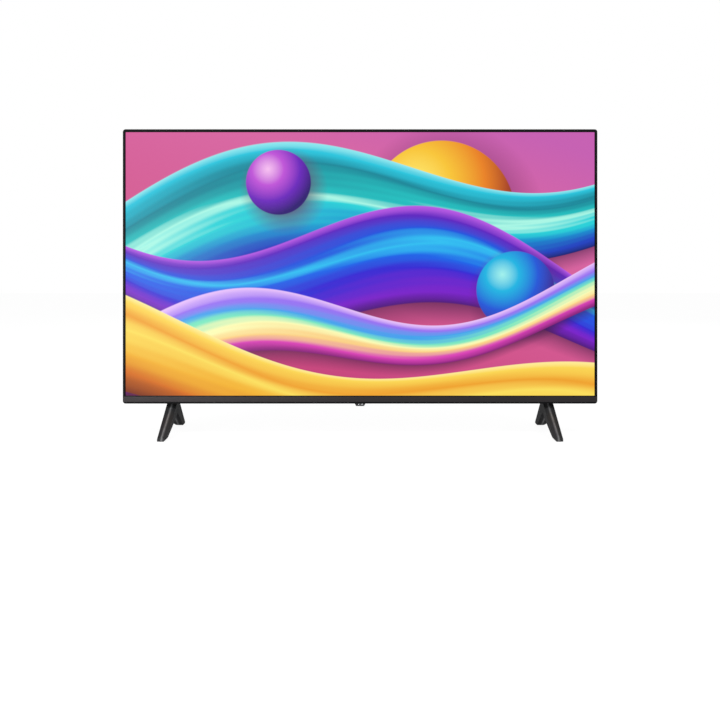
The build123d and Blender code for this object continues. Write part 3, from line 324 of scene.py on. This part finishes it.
def mouldedPlastic(name, look):
    # satin plastic out of a spark-eroded mould: fine grain, faint flow marks and rubbed spots
    material, wire = emptyMaterial(name)
    grain = noiseOf(wire, look["grain"], plasticMarks["grainDetail"])
    flow = noiseOf(wire, **plasticMarks["flow"])
    rubbed = noiseOf(wire, **plasticMarks["rubbed"])
    colour = blend(flow, grain, plasticMarks["flowShare"])
    coverWith(wire, {
        "Base Color": colour.between(look["dark"], look["light"]),
        "Roughness": varied(varied(look["roughness"], grain, look["spread"]), rubbed, look["spread"]),
        "Specular IOR Level": look.get("gloss", plasticMarks["gloss"]),
        "Normal": bumpOf(wire, grain, look),
    })
    return material


def brushedStrip(name, look):
    # lines along X, as a brush leaves them under a clear satin paint
    material, wire = emptyMaterial(name)
    lines = noiseOf(wire, **look["lines"])
    cloud = noiseOf(wire, **look["cloud"])
    coverWith(wire, {
        "Base Color": blend(lines, cloud, look["lineShare"]).between(look["dark"], look["light"]),
        "Metallic": 1.0,
        "Specular Tint": look["edge"],
        "Roughness": varied(look["roughness"], lines, look["spread"]),
        "Normal": bumpOf(wire, lines, look),
    })
    return material


def satinLacquer(name, look):
    # a dark satin skin that stays dark where it is seen along the surface, with a painted highlight in
    # patches along its ridge
    material, wire = emptyMaterial(name)
    grain = noiseOf(wire, **look["grain"])
    worn = noiseOf(wire, **look["worn"])
    across, up = coordinates(wire, "X", "Z")
    ridge = look["ridge"]
    toe = footInside + ridge["inset"]
    # painted highlight: a lighter band of base colour along the ridge of each leg, patchy, standing in
    # for light caught on the fold
    fromRidge = abs(abs(across) - (toe + up * ridge["slope"])) / ridge["width"]
    rubbed = (1 - fromRidge).limited() * (worn * ridge["patchy"] + ridge["least"])
    skin = blend(grain, worn, look["grainShare"]).between(look["dark"], look["light"])
    coverWith(wire, {
        "Base Color": (rubbed * rubbed).limited().between(skin, look["rubbed"]),
        "Metallic": look["metal"],
        "Specular IOR Level": 0.0,
        "Specular Tint": look["edge"],
        "Roughness": varied(look["roughness"], worn, look["spread"]),
        "Normal": bumpOf(wire, grain, look),
    })
    return material


smearMarks = {"noise": {"size": 0.006, "detail": 4.0}, "relief": 0.03, "depth": 0.0002}


def polishedPlastic(name, look):
    # gloss plastic with faint smears
    material, wire = emptyMaterial(name)
    smear = noiseOf(wire, **smearMarks["noise"])
    coverWith(wire, {
        "Base Color": smear.between(look["dark"], look["light"]),
        "Roughness": look["roughness"] + smear * look["spread"],
        "Normal": bumpOf(wire, smear, smearMarks),
    })
    return material


metalMarks = {
    "lines": {"detail": 3.0, "stretch": (0.05, 1, 1)},
    "cloud": {"size": 0.01, "detail": 4.0},
    "lineShare": 0.4,
    "relief": 0.5,
    "depth": 0.00001,
}


def sheetMetal(name, look):
    # plated or bare metal with rolling lines and a cloudy plating
    material, wire = emptyMaterial(name)
    lines = noiseOf(wire, look["line"], **metalMarks["lines"])
    cloud = noiseOf(wire, **metalMarks["cloud"])
    colour = blend(lines, cloud, metalMarks["lineShare"])
    coverWith(wire, {
        "Base Color": colour.between(look["dark"], look["light"]),
        "Metallic": 1.0,
        "Roughness": varied(look["roughness"], cloud, look["spread"]),
        "Normal": bumpOf(wire, lines, metalMarks),
    })
    return material


trackMarks = {
    "wander": {"size": 0.03, "detail": 1.0},
    "swayUp": 22,
    "swayAcross": 18,
    "sharpness": 3,
    "roughness": 0.45,
    "sheen": 0.12,
    "relief": 0.3,
    "depth": 0.0001,
}


def circuitLaminate(name, look):
    # solder mask over copper: tracks show as raised bands, a shade lighter than the board
    material, wire = emptyMaterial(name)
    across, up = coordinates(wire, "X", "Z")
    wander = noiseOf(wire, **trackMarks["wander"])
    level = (up * look["tracks"] + wander * trackMarks["swayUp"]).sine()
    upright = (across * look["tracks"] + wander * trackMarks["swayAcross"]).sine()
    bands = [(wave * trackMarks["sharpness"]).limited() for wave in (level, upright)]
    copper = bands[0].math("MAXIMUM", bands[1])
    coverWith(wire, {
        "Base Color": copper.between(look["dark"], look["light"]),
        "Roughness": trackMarks["roughness"] - copper * trackMarks["sheen"],
        "Normal": bumpOf(wire, copper, trackMarks),
    })
    return material


# The picture on the screen: soft shaded ribbons and discs over a pink ground. Places are in
# half heights of the picture from its middle, to the right and up.

pictureSettings = {
    "cellMargin": 3 * millimetre,
    "border": 0.5 * millimetre,
    "ground": [
        (0.0, paint(186, 40, 104)),
        (0.4, paint(208, 80, 138)),
        (0.75, paint(214, 98, 160)),
        (1.0, paint(196, 92, 176)),
    ],
    "groundUp": 0.35,
    "groundAcross": 0.12,
    "groundMiddle": 0.5,
    "frameSharpness": 2000,
    "face": paint(9, 9, 11),
    "gloss": 0.12,
    "haze": {"size": 0.0006, "detail": 1.0},
    "roughness": 0.3,
    "spread": 0.08,
    "relief": 0.05,
    "depth": 0.00005,
}
discSettings = {
    "sharpness": 140.0,
    "shadeSpread": 0.72,
    "castShift": (0.04, -0.06),
    "castReach": 1.35,
    "castDepth": 1.1,
    "castColour": paint(96, 10, 84),
}
ribbonSettings = {
    "sharpness": 140.0,
    "swellPace": 0.7,
    "foldSlant": 2.2,
    "foldDepth": 0.05,
    "fineFolds": 5.3,
    "fineSlant": 3.1,
    "fineDepth": 0.012,
    "castReach": 1.5,
    "castDepth": 1.3,
    "castColour": paint(52, 4, 70),
}
warmStops = [
    (0.0, paint(255, 236, 110)),
    (0.35, paint(247, 196, 48)),
    (0.68, paint(232, 128, 22)),
    (0.9, paint(170, 66, 20)),
    (1.0, paint(110, 30, 50)),
]
coolStops = [
    (0.0, paint(160, 240, 235)),
    (0.3, paint(20, 180, 225)),
    (0.65, paint(28, 84, 214)),
    (1.0, paint(58, 10, 130)),
]
violetStops = [
    (0.0, paint(246, 190, 240)),
    (0.35, paint(190, 80, 214)),
    (0.7, paint(104, 26, 186)),
    (1.0, paint(40, 8, 110)),
]
tealSheet = [
    (0.0, paint(6, 18, 96)),
    (0.12, paint(20, 60, 190)),
    (0.28, paint(0, 140, 205)),
    (0.45, paint(30, 210, 215)),
    (0.53, paint(170, 246, 228)),
    (0.62, paint(20, 190, 190)),
    (0.8, paint(0, 132, 150)),
    (0.93, paint(30, 196, 220)),
    (1.0, paint(150, 236, 240)),
]
blueSheet = [
    (0.0, paint(70, 0, 110)),
    (0.14, paint(120, 20, 200)),
    (0.34, paint(46, 30, 210)),
    (0.52, paint(10, 96, 230)),
    (0.64, paint(40, 190, 240)),
    (0.74, paint(20, 80, 220)),
    (0.9, paint(90, 24, 190)),
    (1.0, paint(190, 90, 230)),
]
rainbowSheet = [
    (0.0, paint(120, 10, 110)),
    (0.16, paint(216, 60, 180)),
    (0.3, paint(250, 206, 130)),
    (0.42, paint(250, 250, 180)),
    (0.54, paint(120, 230, 190)),
    (0.68, paint(60, 160, 235)),
    (0.84, paint(150, 110, 240)),
    (1.0, paint(240, 200, 250)),
]
goldSheet = [
    (0.0, paint(120, 44, 10)),
    (0.2, paint(214, 110, 14)),
    (0.45, paint(242, 178, 40)),
    (0.62, paint(250, 222, 90)),
    (0.78, paint(238, 160, 36)),
    (0.94, paint(250, 214, 80)),
    (1.0, paint(255, 240, 160)),
]
pictureLayers = [
    ("disc", {"place": (0.62, 0.38), "radius": 0.56, "glint": (-0.2, 0.22), "stops": warmStops}),
    ("ribbon", {"rise": 0.3, "tilt": 0.2, "swing": 0.3, "waves": 1.35, "start": 2.6,
                "width": 0.36, "swell": 0.35, "folds": 9.0, "stops": tealSheet}),
    ("disc", {"place": (-0.62, 0.62), "radius": 0.25, "glint": (-0.08, 0.1), "stops": violetStops}),
    ("ribbon", {"rise": -0.12, "tilt": -0.12, "swing": 0.26, "waves": 1.7, "start": 0.5,
                "width": 0.27, "swell": 0.4, "folds": 7.0, "stops": blueSheet}),
    ("disc", {"place": (1.18, -0.2), "radius": 0.3, "glint": (-0.1, 0.12), "stops": coolStops}),
    ("ribbon", {"rise": -0.5, "tilt": 0.14, "swing": 0.2, "waves": 1.9, "start": 3.4,
                "width": 0.2, "swell": 0.3, "folds": 6.0, "stops": rainbowSheet}),
    ("ribbon", {"rise": -0.98, "tilt": -0.16, "swing": 0.16, "waves": 1.5, "start": 5.2,
                "width": 0.34, "swell": 0.25, "folds": 5.0, "stops": goldSheet}),
]


def layDisc(ground, across, up, disc):
    middleX, middleY = disc["place"]
    glintX, glintY = disc["glint"]
    castX, castY = discSettings["castShift"]

    def reach(x, y):
        right, rise = across - x, up - y
        return (right * right + rise * rise).math("SQRT") / disc["radius"]

    rim = reach(middleX, middleY)
    shade = reach(middleX + glintX, middleY + glintY) * discSettings["shadeSpread"]
    cast = (discSettings["castReach"] - reach(middleX + castX, middleY + castY)).limited()
    cast = (cast * discSettings["castDepth"]).limited()
    darkened = cast.between(ground, discSettings["castColour"])
    cover = ((1 - rim) * discSettings["sharpness"] * disc["radius"]).limited()
    return cover.between(darkened, shade.ramp(disc["stops"]))


def layRibbon(ground, across, up, ribbon):
    # share is the place across the ribbon, from -1 at its lower edge to 1 at its upper edge
    shared = ribbonSettings
    angle = across * ribbon["waves"] + ribbon["start"]
    middle = angle.sine() * ribbon["swing"] + across * ribbon["tilt"] + ribbon["rise"]
    width = ((angle * shared["swellPace"] + 1).sine() * ribbon["swell"] + 1) * ribbon["width"]
    share = (up - middle) / width
    wide = share * ribbon["folds"] + across * shared["foldSlant"]
    fine = share * ribbon["folds"] * shared["fineFolds"] - across * shared["fineSlant"]
    folds = wide.sine() * shared["foldDepth"] + fine.sine() * shared["fineDepth"]
    shade = (share + 1) / 2 + folds * (1 - share * share)
    cast = (shared["castReach"] + share).limited() * (1 - (share + 1).limited())
    cast = (cast * shared["castDepth"]).limited()
    darkened = cast.between(ground, shared["castColour"])
    cover = ((1 - abs(share)) * shared["sharpness"] * ribbon["width"]).limited()
    return cover.between(darkened, shade.ramp(ribbon["stops"]))


def pictureGlass(name, look):
    material, wire = emptyMaterial(name)
    low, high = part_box("lcd_panel")
    halfHeight = (high.z - low.z) / 2 - look["cellMargin"]
    halfWidth = (high.x - low.x) / 2 - look["cellMargin"] + look["border"]
    x, z = coordinates(wire, "X", "Z")
    across = x / halfHeight
    up = (z - (high.z + low.z) / 2) / halfHeight
    slope = up * look["groundUp"] + across * look["groundAcross"]
    colour = (slope + look["groundMiddle"]).ramp(look["ground"])
    lay = {"disc": layDisc, "ribbon": layRibbon}
    for kind, values in pictureLayers:
        colour = lay[kind](colour, across, up, values)
    sideEdge = ((halfWidth / halfHeight - abs(across)) * look["frameSharpness"]).limited()
    topEdge = ((1 - abs(up)) * look["frameSharpness"]).limited()
    haze = noiseOf(wire, **look["haze"])
    coverWith(wire, {
        "Base Color": look["face"],
        "Roughness": look["roughness"] + haze * look["spread"],
        "Specular IOR Level": look["gloss"],
        "Emission Color": (sideEdge * topEdge).between(black, colour),
        "Emission Strength": 1.0,
        "Normal": bumpOf(wire, haze, look),
    })
    return material


blackGrain = {"grain": 0.0004, "relief": 0.4, "depth": 0.00001, "spread": 0.06}
finishes = {
    "bezel_black": (mouldedPlastic, {
        **blackGrain, "dark": paint(10, 10, 11), "light": paint(18, 18, 19),
        "roughness": 0.4, "gloss": 0.04,
    }),
    "trim_grey": (brushedStrip, {
        "lines": {"size": 0.00045, "detail": 3.0, "stretch": (0.012, 1, 1)},
        "cloud": {"size": 0.06, "detail": 2.0}, "lineShare": 0.75,
        "dark": paint(42, 40, 41), "light": paint(54, 51, 52), "edge": (0.4, 0.4, 0.4, 1),
        "roughness": 0.42, "spread": 0.12, "relief": 0.5, "depth": 0.00001,
    }),
    "panel_glass": (pictureGlass, pictureSettings),
    "inner_plastic": (mouldedPlastic, {
        **blackGrain, "dark": paint(22, 22, 22), "light": paint(36, 36, 36), "roughness": 0.6,
    }),
    "film_clear": (polishedPlastic, {
        "dark": paint(206, 210, 214), "light": paint(228, 231, 235), "roughness": 0.2, "spread": 0.1,
    }),
    "window_smoke": (polishedPlastic, {
        "dark": paint(132, 134, 136), "light": paint(164, 166, 168), "roughness": 0.18, "spread": 0.1,
    }),
    "plate_satin": (sheetMetal, {
        "line": 0.0003, "dark": paint(118, 119, 121), "light": paint(132, 133, 135),
        "roughness": 0.5, "spread": 0.06,
    }),
    "white_plastic": (mouldedPlastic, {
        **blackGrain, "dark": paint(226, 226, 224), "light": paint(242, 242, 240), "roughness": 0.55,
    }),
    "board_green": (circuitLaminate, {
        "dark": paint(10, 62, 34), "light": paint(26, 104, 60), "tracks": 2600,
    }),
    "board_tan": (circuitLaminate, {
        "dark": paint(150, 112, 62), "light": paint(186, 148, 92), "tracks": 1300,
    }),
    "board_white": (circuitLaminate, {
        "dark": paint(222, 222, 218), "light": paint(240, 240, 237), "tracks": 900,
    }),
    "flex_amber": (polishedPlastic, {
        "dark": paint(126, 66, 16), "light": paint(186, 108, 30), "roughness": 0.25, "spread": 0.1,
    }),
    "lens_clear": (polishedPlastic, {
        "dark": paint(214, 216, 218), "light": paint(240, 242, 244), "roughness": 0.06, "spread": 0.05,
    }),
    "plated_steel": (sheetMetal, {
        "line": 0.0006, "dark": paint(158, 161, 163), "light": paint(196, 199, 201),
        "roughness": 0.36, "spread": 0.18,
    }),
    "black_screw": (sheetMetal, {
        "line": 0.0004, "dark": paint(24, 24, 25), "light": paint(48, 48, 50),
        "roughness": 0.4, "spread": 0.15,
    }),
    "cover_black": (mouldedPlastic, {
        "grain": 0.0009, "relief": 0.6, "depth": 0.00005, "spread": 0.08,
        "dark": paint(20, 20, 21), "light": paint(36, 36, 38), "roughness": 0.52, "gloss": 0.45,
    }),
    "foot_black": (satinLacquer, {
        "grain": {"size": 0.0004, "detail": 3.0}, "worn": {"size": 0.012, "detail": 4.0},
        "grainShare": 0.5, "dark": paint(42, 42, 43), "light": paint(54, 54, 55),
        # the lighter colour on the next line is a painted highlight along the ridge of each leg, placed
        # by the ridge settings below
        "rubbed": paint(130, 130, 131), "edge": (0.4, 0.4, 0.4, 1), "metal": 0.5,
        "roughness": 0.36, "spread": 0.1, "relief": 0.5, "depth": 0.00002,
        "ridge": {"inset": 0.0152, "slope": -0.1, "width": 0.0042, "patchy": 0.5, "least": 0.6},
    }),
    "tab_gloss": (polishedPlastic, {
        "dark": paint(6, 6, 7), "light": paint(14, 14, 15), "roughness": 0.06, "spread": 0.08,
    }),
    "rubber_black": (mouldedPlastic, {
        "grain": 0.0006, "relief": 0.5, "depth": 0.00005, "spread": 0.06,
        "dark": paint(22, 22, 22), "light": paint(38, 38, 38), "roughness": 0.85, "gloss": 0.2,
    }),
    "chip_black": (mouldedPlastic, {
        **blackGrain, "dark": paint(24, 24, 25), "light": paint(42, 42, 44), "roughness": 0.5,
    }),
    "sink_aluminium": (sheetMetal, {
        "line": 0.0003, "dark": paint(196, 198, 202), "light": paint(226, 228, 231),
        "roughness": 0.38, "spread": 0.12,
    }),
    "antenna_brass": (sheetMetal, {
        "line": 0.0003, "dark": paint(196, 174, 120), "light": paint(228, 208, 156),
        "roughness": 0.28, "spread": 0.12,
    }),
    "ribbon_white": (mouldedPlastic, {
        **blackGrain, "dark": paint(204, 204, 198), "light": paint(232, 232, 226), "roughness": 0.5,
    }),
    "ferrite_dark": (mouldedPlastic, {
        **blackGrain, "dark": paint(52, 52, 56), "light": paint(84, 84, 90), "roughness": 0.62,
    }),
    "capacitor_sleeve": (polishedPlastic, {
        "dark": paint(22, 30, 66), "light": paint(38, 50, 96), "roughness": 0.25, "spread": 0.15,
    }),
    "harness_red": (polishedPlastic, {
        "dark": paint(150, 20, 14), "light": paint(196, 38, 26), "roughness": 0.32, "spread": 0.12,
    }),
    "cone_paper": (mouldedPlastic, {
        "grain": 0.0012, "relief": 0.6, "depth": 0.0001, "spread": 0.05,
        "dark": paint(48, 48, 47), "light": paint(76, 76, 74), "roughness": 0.9, "gloss": 0.2,
    }),
}

materials = {name: make(name, look) for name, (make, look) in finishes.items()}
slotOfNode = {part["node"]: part["material_slot"] for part in frame["record"]["subparts"]}
for nodeName, slotName in slotOfNode.items():
    for holder in frame["nodes"][nodeName].material_slots:
        holder.material = materials[slotName]
print("finishes laid on", len(slotOfNode), "nodes")


# Pieces that are finished here in more detail than their solids

def shownPiece(name, shape, slotName, finish=None, body="root"):
    mesh = bpy.data.meshes.new(name)
    shape.to_mesh(mesh)
    shape.free()
    mesh.materials.append(materials[finish or slotName])
    piece = bpy.data.objects.new(name, mesh)
    bpy.context.scene.collection.objects.link(piece)
    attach(piece, body)
    return piece


def smoothUpTo(shape, degrees):
    for face in shape.faces:
        face.smooth = True
    for edge in shape.edges:
        edge.smooth = edge.is_manifold and edge.calc_face_angle() < math.radians(degrees)


def turnOutwards(shape, degrees):
    bmesh.ops.recalc_face_normals(shape, faces=shape.faces)
    smoothUpTo(shape, degrees)


def evenNormals(piece):
    modifier = piece.modifiers.new("evenNormals", "WEIGHTED_NORMAL")
    modifier.keep_sharp = True


def addBlock(shape, low, high):
    low, high = Vector(low), Vector(high)
    place = Matrix.LocRotScale((low + high) / 2, None, high - low)
    return bmesh.ops.create_cube(shape, size=1, matrix=place)["verts"]


def roundEdges(shape, edges, width, steps):
    bmesh.ops.bevel(
        shape, geom=edges, offset=width, offset_type="OFFSET", affect="EDGES",
        segments=steps, profile=0.5, material=-1, clamp_overlap=True,
    )


# Softened copies of the outer mouldings

footSoftening = {
    "width": 0.0011, "steps": 4, "shortest": 0.003, "angle": 25, "ridge": 0.0028, "ridgeSteps": 7,
}
softenedSettings = {
    "front_bezel": {"name": "bezel_frame", "width": 0.0004, "steps": 2, "shortest": 0.01, "angle": 30},
    "bottom_trim": {"name": "trim_strip", "width": 0.0003, "steps": 2, "shortest": 0.002, "angle": 30},
    "rear_cover": {"name": "back_shell", "width": 0.0016, "steps": 4, "shortest": 0.03, "angle": 18},
    "right_foot": {"name": "foot_moulding_right", **footSoftening},
    "left_foot": {"name": "foot_moulding_left", **footSoftening},
}
softenLimits = {"merge": 0.00001, "flatAngle": 0.5, "smoothAngle": 30}
ridgeBand = {"inset": (0.005, 0.017), "depth": 0.013, "height": (0.004, 0.066)}


def onRidge(edge):
    # the fold along the top of a leg lies away from the leg's sides, its toe and its upper end
    middle = (edge.verts[0].co + edge.verts[1].co) / 2
    inset = abs(middle.x) - footInside
    low, high = ridgeBand["inset"]
    bottom, top = ridgeBand["height"]
    return low < inset < high and abs(middle.y) > ridgeBand["depth"] and bottom < middle.z < top


def sharpEdges(shape, degrees, shortest=0.0):
    limit = math.radians(degrees)
    return [
        edge for edge in shape.edges
        if edge.is_manifold and edge.calc_length() > shortest and edge.calc_face_angle() > limit
    ]


def softenNode(node, settings):
    # the node's own mesh, merged, with its long edges rounded as a mould leaves them
    shape = bmesh.new()
    shape.from_mesh(frame["nodes"][node].data)
    bmesh.ops.remove_doubles(shape, verts=shape.verts, dist=softenLimits["merge"])
    flat = math.radians(softenLimits["flatAngle"])
    bmesh.ops.dissolve_limit(shape, angle_limit=flat, verts=shape.verts, edges=shape.edges)
    if "ridge" in settings:
        ridges = [edge for edge in sharpEdges(shape, settings["angle"]) if onRidge(edge)]
        roundEdges(shape, ridges, settings["ridge"], settings["ridgeSteps"])
    edges = sharpEdges(shape, settings["angle"], settings["shortest"])
    roundEdges(shape, edges, settings["width"], settings["steps"])
    turnOutwards(shape, softenLimits["smoothAngle"])
    piece = shownPiece(settings["name"], shape, slotOfNode[node])
    evenNormals(piece)
    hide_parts(node)
    return piece


for nodeName, values in softenedSettings.items():
    softened = softenNode(nodeName, values)
    print(values["name"], "has", len(softened.data.polygons), "faces")


# Windows of the sensor tab, a wide and a small one. Their places are from the middle of the
# tab and up from its lower edge.

windowSettings = {
    "receiver_window": {"place": (0.0038, 0.0034), "half": (0.0027, 0.00125), "finish": "window_smoke"},
    "lamp_window": {"place": (-0.0032, 0.0034), "half": (0.001, 0.0009), "finish": "film_clear"},
}
windowShape = {"bulge": 0.00045, "segments": 32, "rings": 16, "smoothAngle": 60}


def makeWindow(name, settings):
    tabLow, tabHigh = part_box("sensor_tab")
    across, up = settings["place"]
    middle = ((tabLow.x + tabHigh.x) / 2 + across, tabLow.y, tabLow.z + up)
    halfX, halfZ = settings["half"]
    shape = bmesh.new()
    turn = Matrix.Rotation(math.radians(90), 4, "X")
    size = Matrix.Diagonal((halfX, windowShape["bulge"], halfZ, 1))
    place = Matrix.Translation(middle) @ size @ turn
    segments, rings = windowShape["segments"], windowShape["rings"]
    bmesh.ops.create_uvsphere(shape, u_segments=segments, v_segments=rings, radius=1, matrix=place)
    turnOutwards(shape, windowShape["smoothAngle"])
    shownPiece(name, shape, "lens_clear", settings["finish"])


for windowName, values in windowSettings.items():
    makeWindow(windowName, values)


# Plain plate in the recess of the back, where a rating label would be

plateSettings = {
    "size": (0.122, 0.054),
    "thickness": 0.0003,
    "rise": 0.104,
    "recess": 0.5 * millimetre,
    "corner": 0.003,
    "cornerSteps": 6,
    "smoothAngle": 30,
}


def makePlate(settings):
    # the rise is that of the plate's middle over the lower edge of the cover
    coverLow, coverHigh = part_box("rear_cover")
    bottomY = coverHigh.y - settings["recess"]
    middleZ = coverLow.z + settings["rise"]
    halfX, halfZ = (side / 2 for side in settings["size"])
    shape = bmesh.new()
    low = (-halfX, bottomY, middleZ - halfZ)
    high = (halfX, bottomY + settings["thickness"], middleZ + halfZ)
    addBlock(shape, low, high)
    corners = [
        edge for edge in shape.edges
        if abs(edge.verts[0].co.y - edge.verts[1].co.y) > settings["thickness"] / 2
    ]
    roundEdges(shape, corners, settings["corner"], settings["cornerSteps"])
    smoothUpTo(shape, settings["smoothAngle"])
    shownPiece("blank_plate", shape, "trim_grey", "plate_satin")


makePlate(plateSettings)


# Sprung contacts inside the network socket

contactSettings = {
    "count": 8,
    "pitch": 0.00102,
    "half": 0.00022,
    "depth": 0.0115,
    "setBack": 0.002,
    "mouthHalf": 4.2 * millimetre,
    "underside": 0.0007,
    "top": 0.0003,
    "slant": 0.003,
    "rounding": 0.00005,
    "steps": 2,
    "smoothAngle": 40,
}


def makeNetworkContacts(settings):
    low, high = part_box("network_socket")
    middleZ = (low.z + high.z) / 2
    mouthTop = (low.y + high.y) / 2 + settings["mouthHalf"]
    shape = bmesh.new()
    for number in range(settings["count"]):
        z = middleZ + (number - (settings["count"] - 1) / 2) * settings["pitch"]
        contact = addBlock(
            shape,
            (high.x - settings["depth"], mouthTop - settings["underside"], z - settings["half"]),
            (high.x - settings["setBack"], mouthTop - settings["top"], z + settings["half"]),
        )
        deepEnd = [vert for vert in contact if vert.co.x < high.x - settings["depth"] / 2]
        bmesh.ops.translate(shape, verts=deepEnd, vec=(0, -settings["slant"], 0))
    roundEdges(shape, list(shape.edges), settings["rounding"], settings["steps"])
    smoothUpTo(shape, settings["smoothAngle"])
    shownPiece("network_contacts", shape, "antenna_brass")


# Tongues inside the video and data sockets, with contacts on both faces; in millimetres

tongueSettings = {
    "video_tongues": {
        "node": "video_sockets", "sockets": 3, "width": 15.0, "shell": 0.5,
        "tongue": 1.4, "depth": 9.0, "contacts": 9,
    },
    "data_tongues": {
        "node": "data_sockets", "sockets": 2, "width": 14.4, "shell": 0.6,
        "tongue": 2.0, "depth": 11.0, "contacts": 4,
    },
}
tongueShape = {
    "skin": 0.05 * millimetre,
    "plastic": {"width": 0.0002, "steps": 2},
    "metal": {"width": 0.00003, "steps": 1},
    "smoothAngle": 40,
}


def socketMiddles(settings, width):
    # the sockets of a node stand evenly between its lowest and highest ends
    low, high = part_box(settings["node"])
    first, last = low.z + width / 2, high.z - width / 2
    gaps = settings["sockets"] - 1
    return [first + (last - first) * number / gaps for number in range(settings["sockets"])]


def makeTongues(name, settings):
    low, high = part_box(settings["node"])
    skin = tongueShape["skin"]
    measures = ("width", "shell", "tongue", "depth")
    width, shell, tongue, depth = (settings[measure] * millimetre for measure in measures)
    halfZ = width / 2 - shell - tongue + skin
    middleY = (low.y + high.y) / 2
    front = high.x - shell + skin
    pitch = 2 * halfZ / (settings["contacts"] + 1)
    plastic, metal = bmesh.new(), bmesh.new()
    for z in socketMiddles(settings, width):
        addBlock(
            plastic,
            (high.x - depth, middleY - tongue / 2 - skin, z - halfZ),
            (front, middleY + tongue / 2 + skin, z + halfZ),
        )
        for number in range(1, settings["contacts"] + 1):
            contactZ = z - halfZ + number * pitch
            addBlock(
                metal,
                (high.x - depth, middleY - tongue / 2 - 2 * skin, contactZ - pitch / 4),
                (front - tongue / 2, middleY + tongue / 2 + 2 * skin, contactZ + pitch / 4),
            )
    for part, rounding in ((plastic, tongueShape["plastic"]), (metal, tongueShape["metal"])):
        roundEdges(part, list(part.edges), rounding["width"], rounding["steps"])
        smoothUpTo(part, tongueShape["smoothAngle"])
    shownPiece(name, plastic, "chip_black")
    shownPiece(name.replace("tongues", "contacts"), metal, "antenna_brass")


makeNetworkContacts(contactSettings)
for tongueName, values in tongueSettings.items():
    makeTongues(tongueName, values)


# Threads: ridges turned round the antenna barrel and inside the wall mount posts

threadSettings = {
    "antenna_thread": {"radius": 0.00475, "ridge": 0.0002, "pitch": 0.0008, "turns": 8},
    "post_threads": {
        "radius": 0.003, "ridge": -0.0003, "pitch": 0.001, "turns": 15, "flange": 0.012,
    },
}
threadShape = {
    "bite": 0.00004, "halfBase": 0.45, "stepsPerTurn": 24, "plainTurns": 0.6, "smoothAngle": 30,
}


def addThread(shape, middle, axis, sideways, settings):
    # one ridge wound round an axis; the ridge points outwards, or inwards when it is negative
    axis, sideways = Vector(axis), Vector(sideways)
    foot = settings["radius"] - math.copysign(threadShape["bite"], settings["ridge"])
    halfBase = threadShape["halfBase"]
    points = ((foot, -halfBase), (settings["radius"] + settings["ridge"], 0), (foot, halfBase))
    ring = [
        shape.verts.new(Vector(middle) + sideways * radius + axis * share * settings["pitch"])
        for radius, share in points
    ]
    edges = [shape.edges.new(pair) for pair in zip(ring, ring[1:] + ring[:1])]
    perTurn = threadShape["stepsPerTurn"]
    end = bmesh.ops.spin(
        shape, geom=ring + edges, cent=middle, axis=axis, dvec=axis * settings["pitch"] / perTurn,
        angle=2 * math.pi * settings["turns"], steps=perTurn * settings["turns"], use_merge=False,
        use_normal_flip=False, use_duplicate=False,
    )["geom_last"]
    lastRing = [part for part in end if isinstance(part, bmesh.types.BMVert)]
    bmesh.ops.contextual_create(shape, geom=ring)
    bmesh.ops.contextual_create(shape, geom=lastRing)


def threadStart(end, settings):
    # a thread begins this far back, and leaves the end of its barrel plain
    return end - settings["pitch"] * (settings["turns"] + threadShape["plainTurns"])


def makeAntennaThread(name):
    low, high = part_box("antenna_socket")
    barrel = threadSettings[name]
    middle = (threadStart(high.x, barrel), (low.y + high.y) / 2, (low.z + high.z) / 2)
    shape = bmesh.new()
    addThread(shape, middle, (1, 0, 0), (0, 1, 0), barrel)
    turnOutwards(shape, threadShape["smoothAngle"])
    shownPiece(name, shape, "antenna_brass")


def makePostThreads(name):
    # one thread for each post, whose axis lies in from the ends of the box by its flange's radius
    low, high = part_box("wall_mount_posts")
    post = threadSettings[name]
    shape = bmesh.new()
    for x in (low.x + post["flange"], high.x - post["flange"]):
        for z in (low.z + post["flange"], high.z - post["flange"]):
            middle = (x, threadStart(high.y, post), z)
            addThread(shape, middle, (0, 1, 0), (1, 0, 0), post)
    turnOutwards(shape, threadShape["smoothAngle"])
    shownPiece(name, shape, "plated_steel")


makeAntennaThread("antenna_thread")
makePostThreads("post_threads")
print("small pieces made")
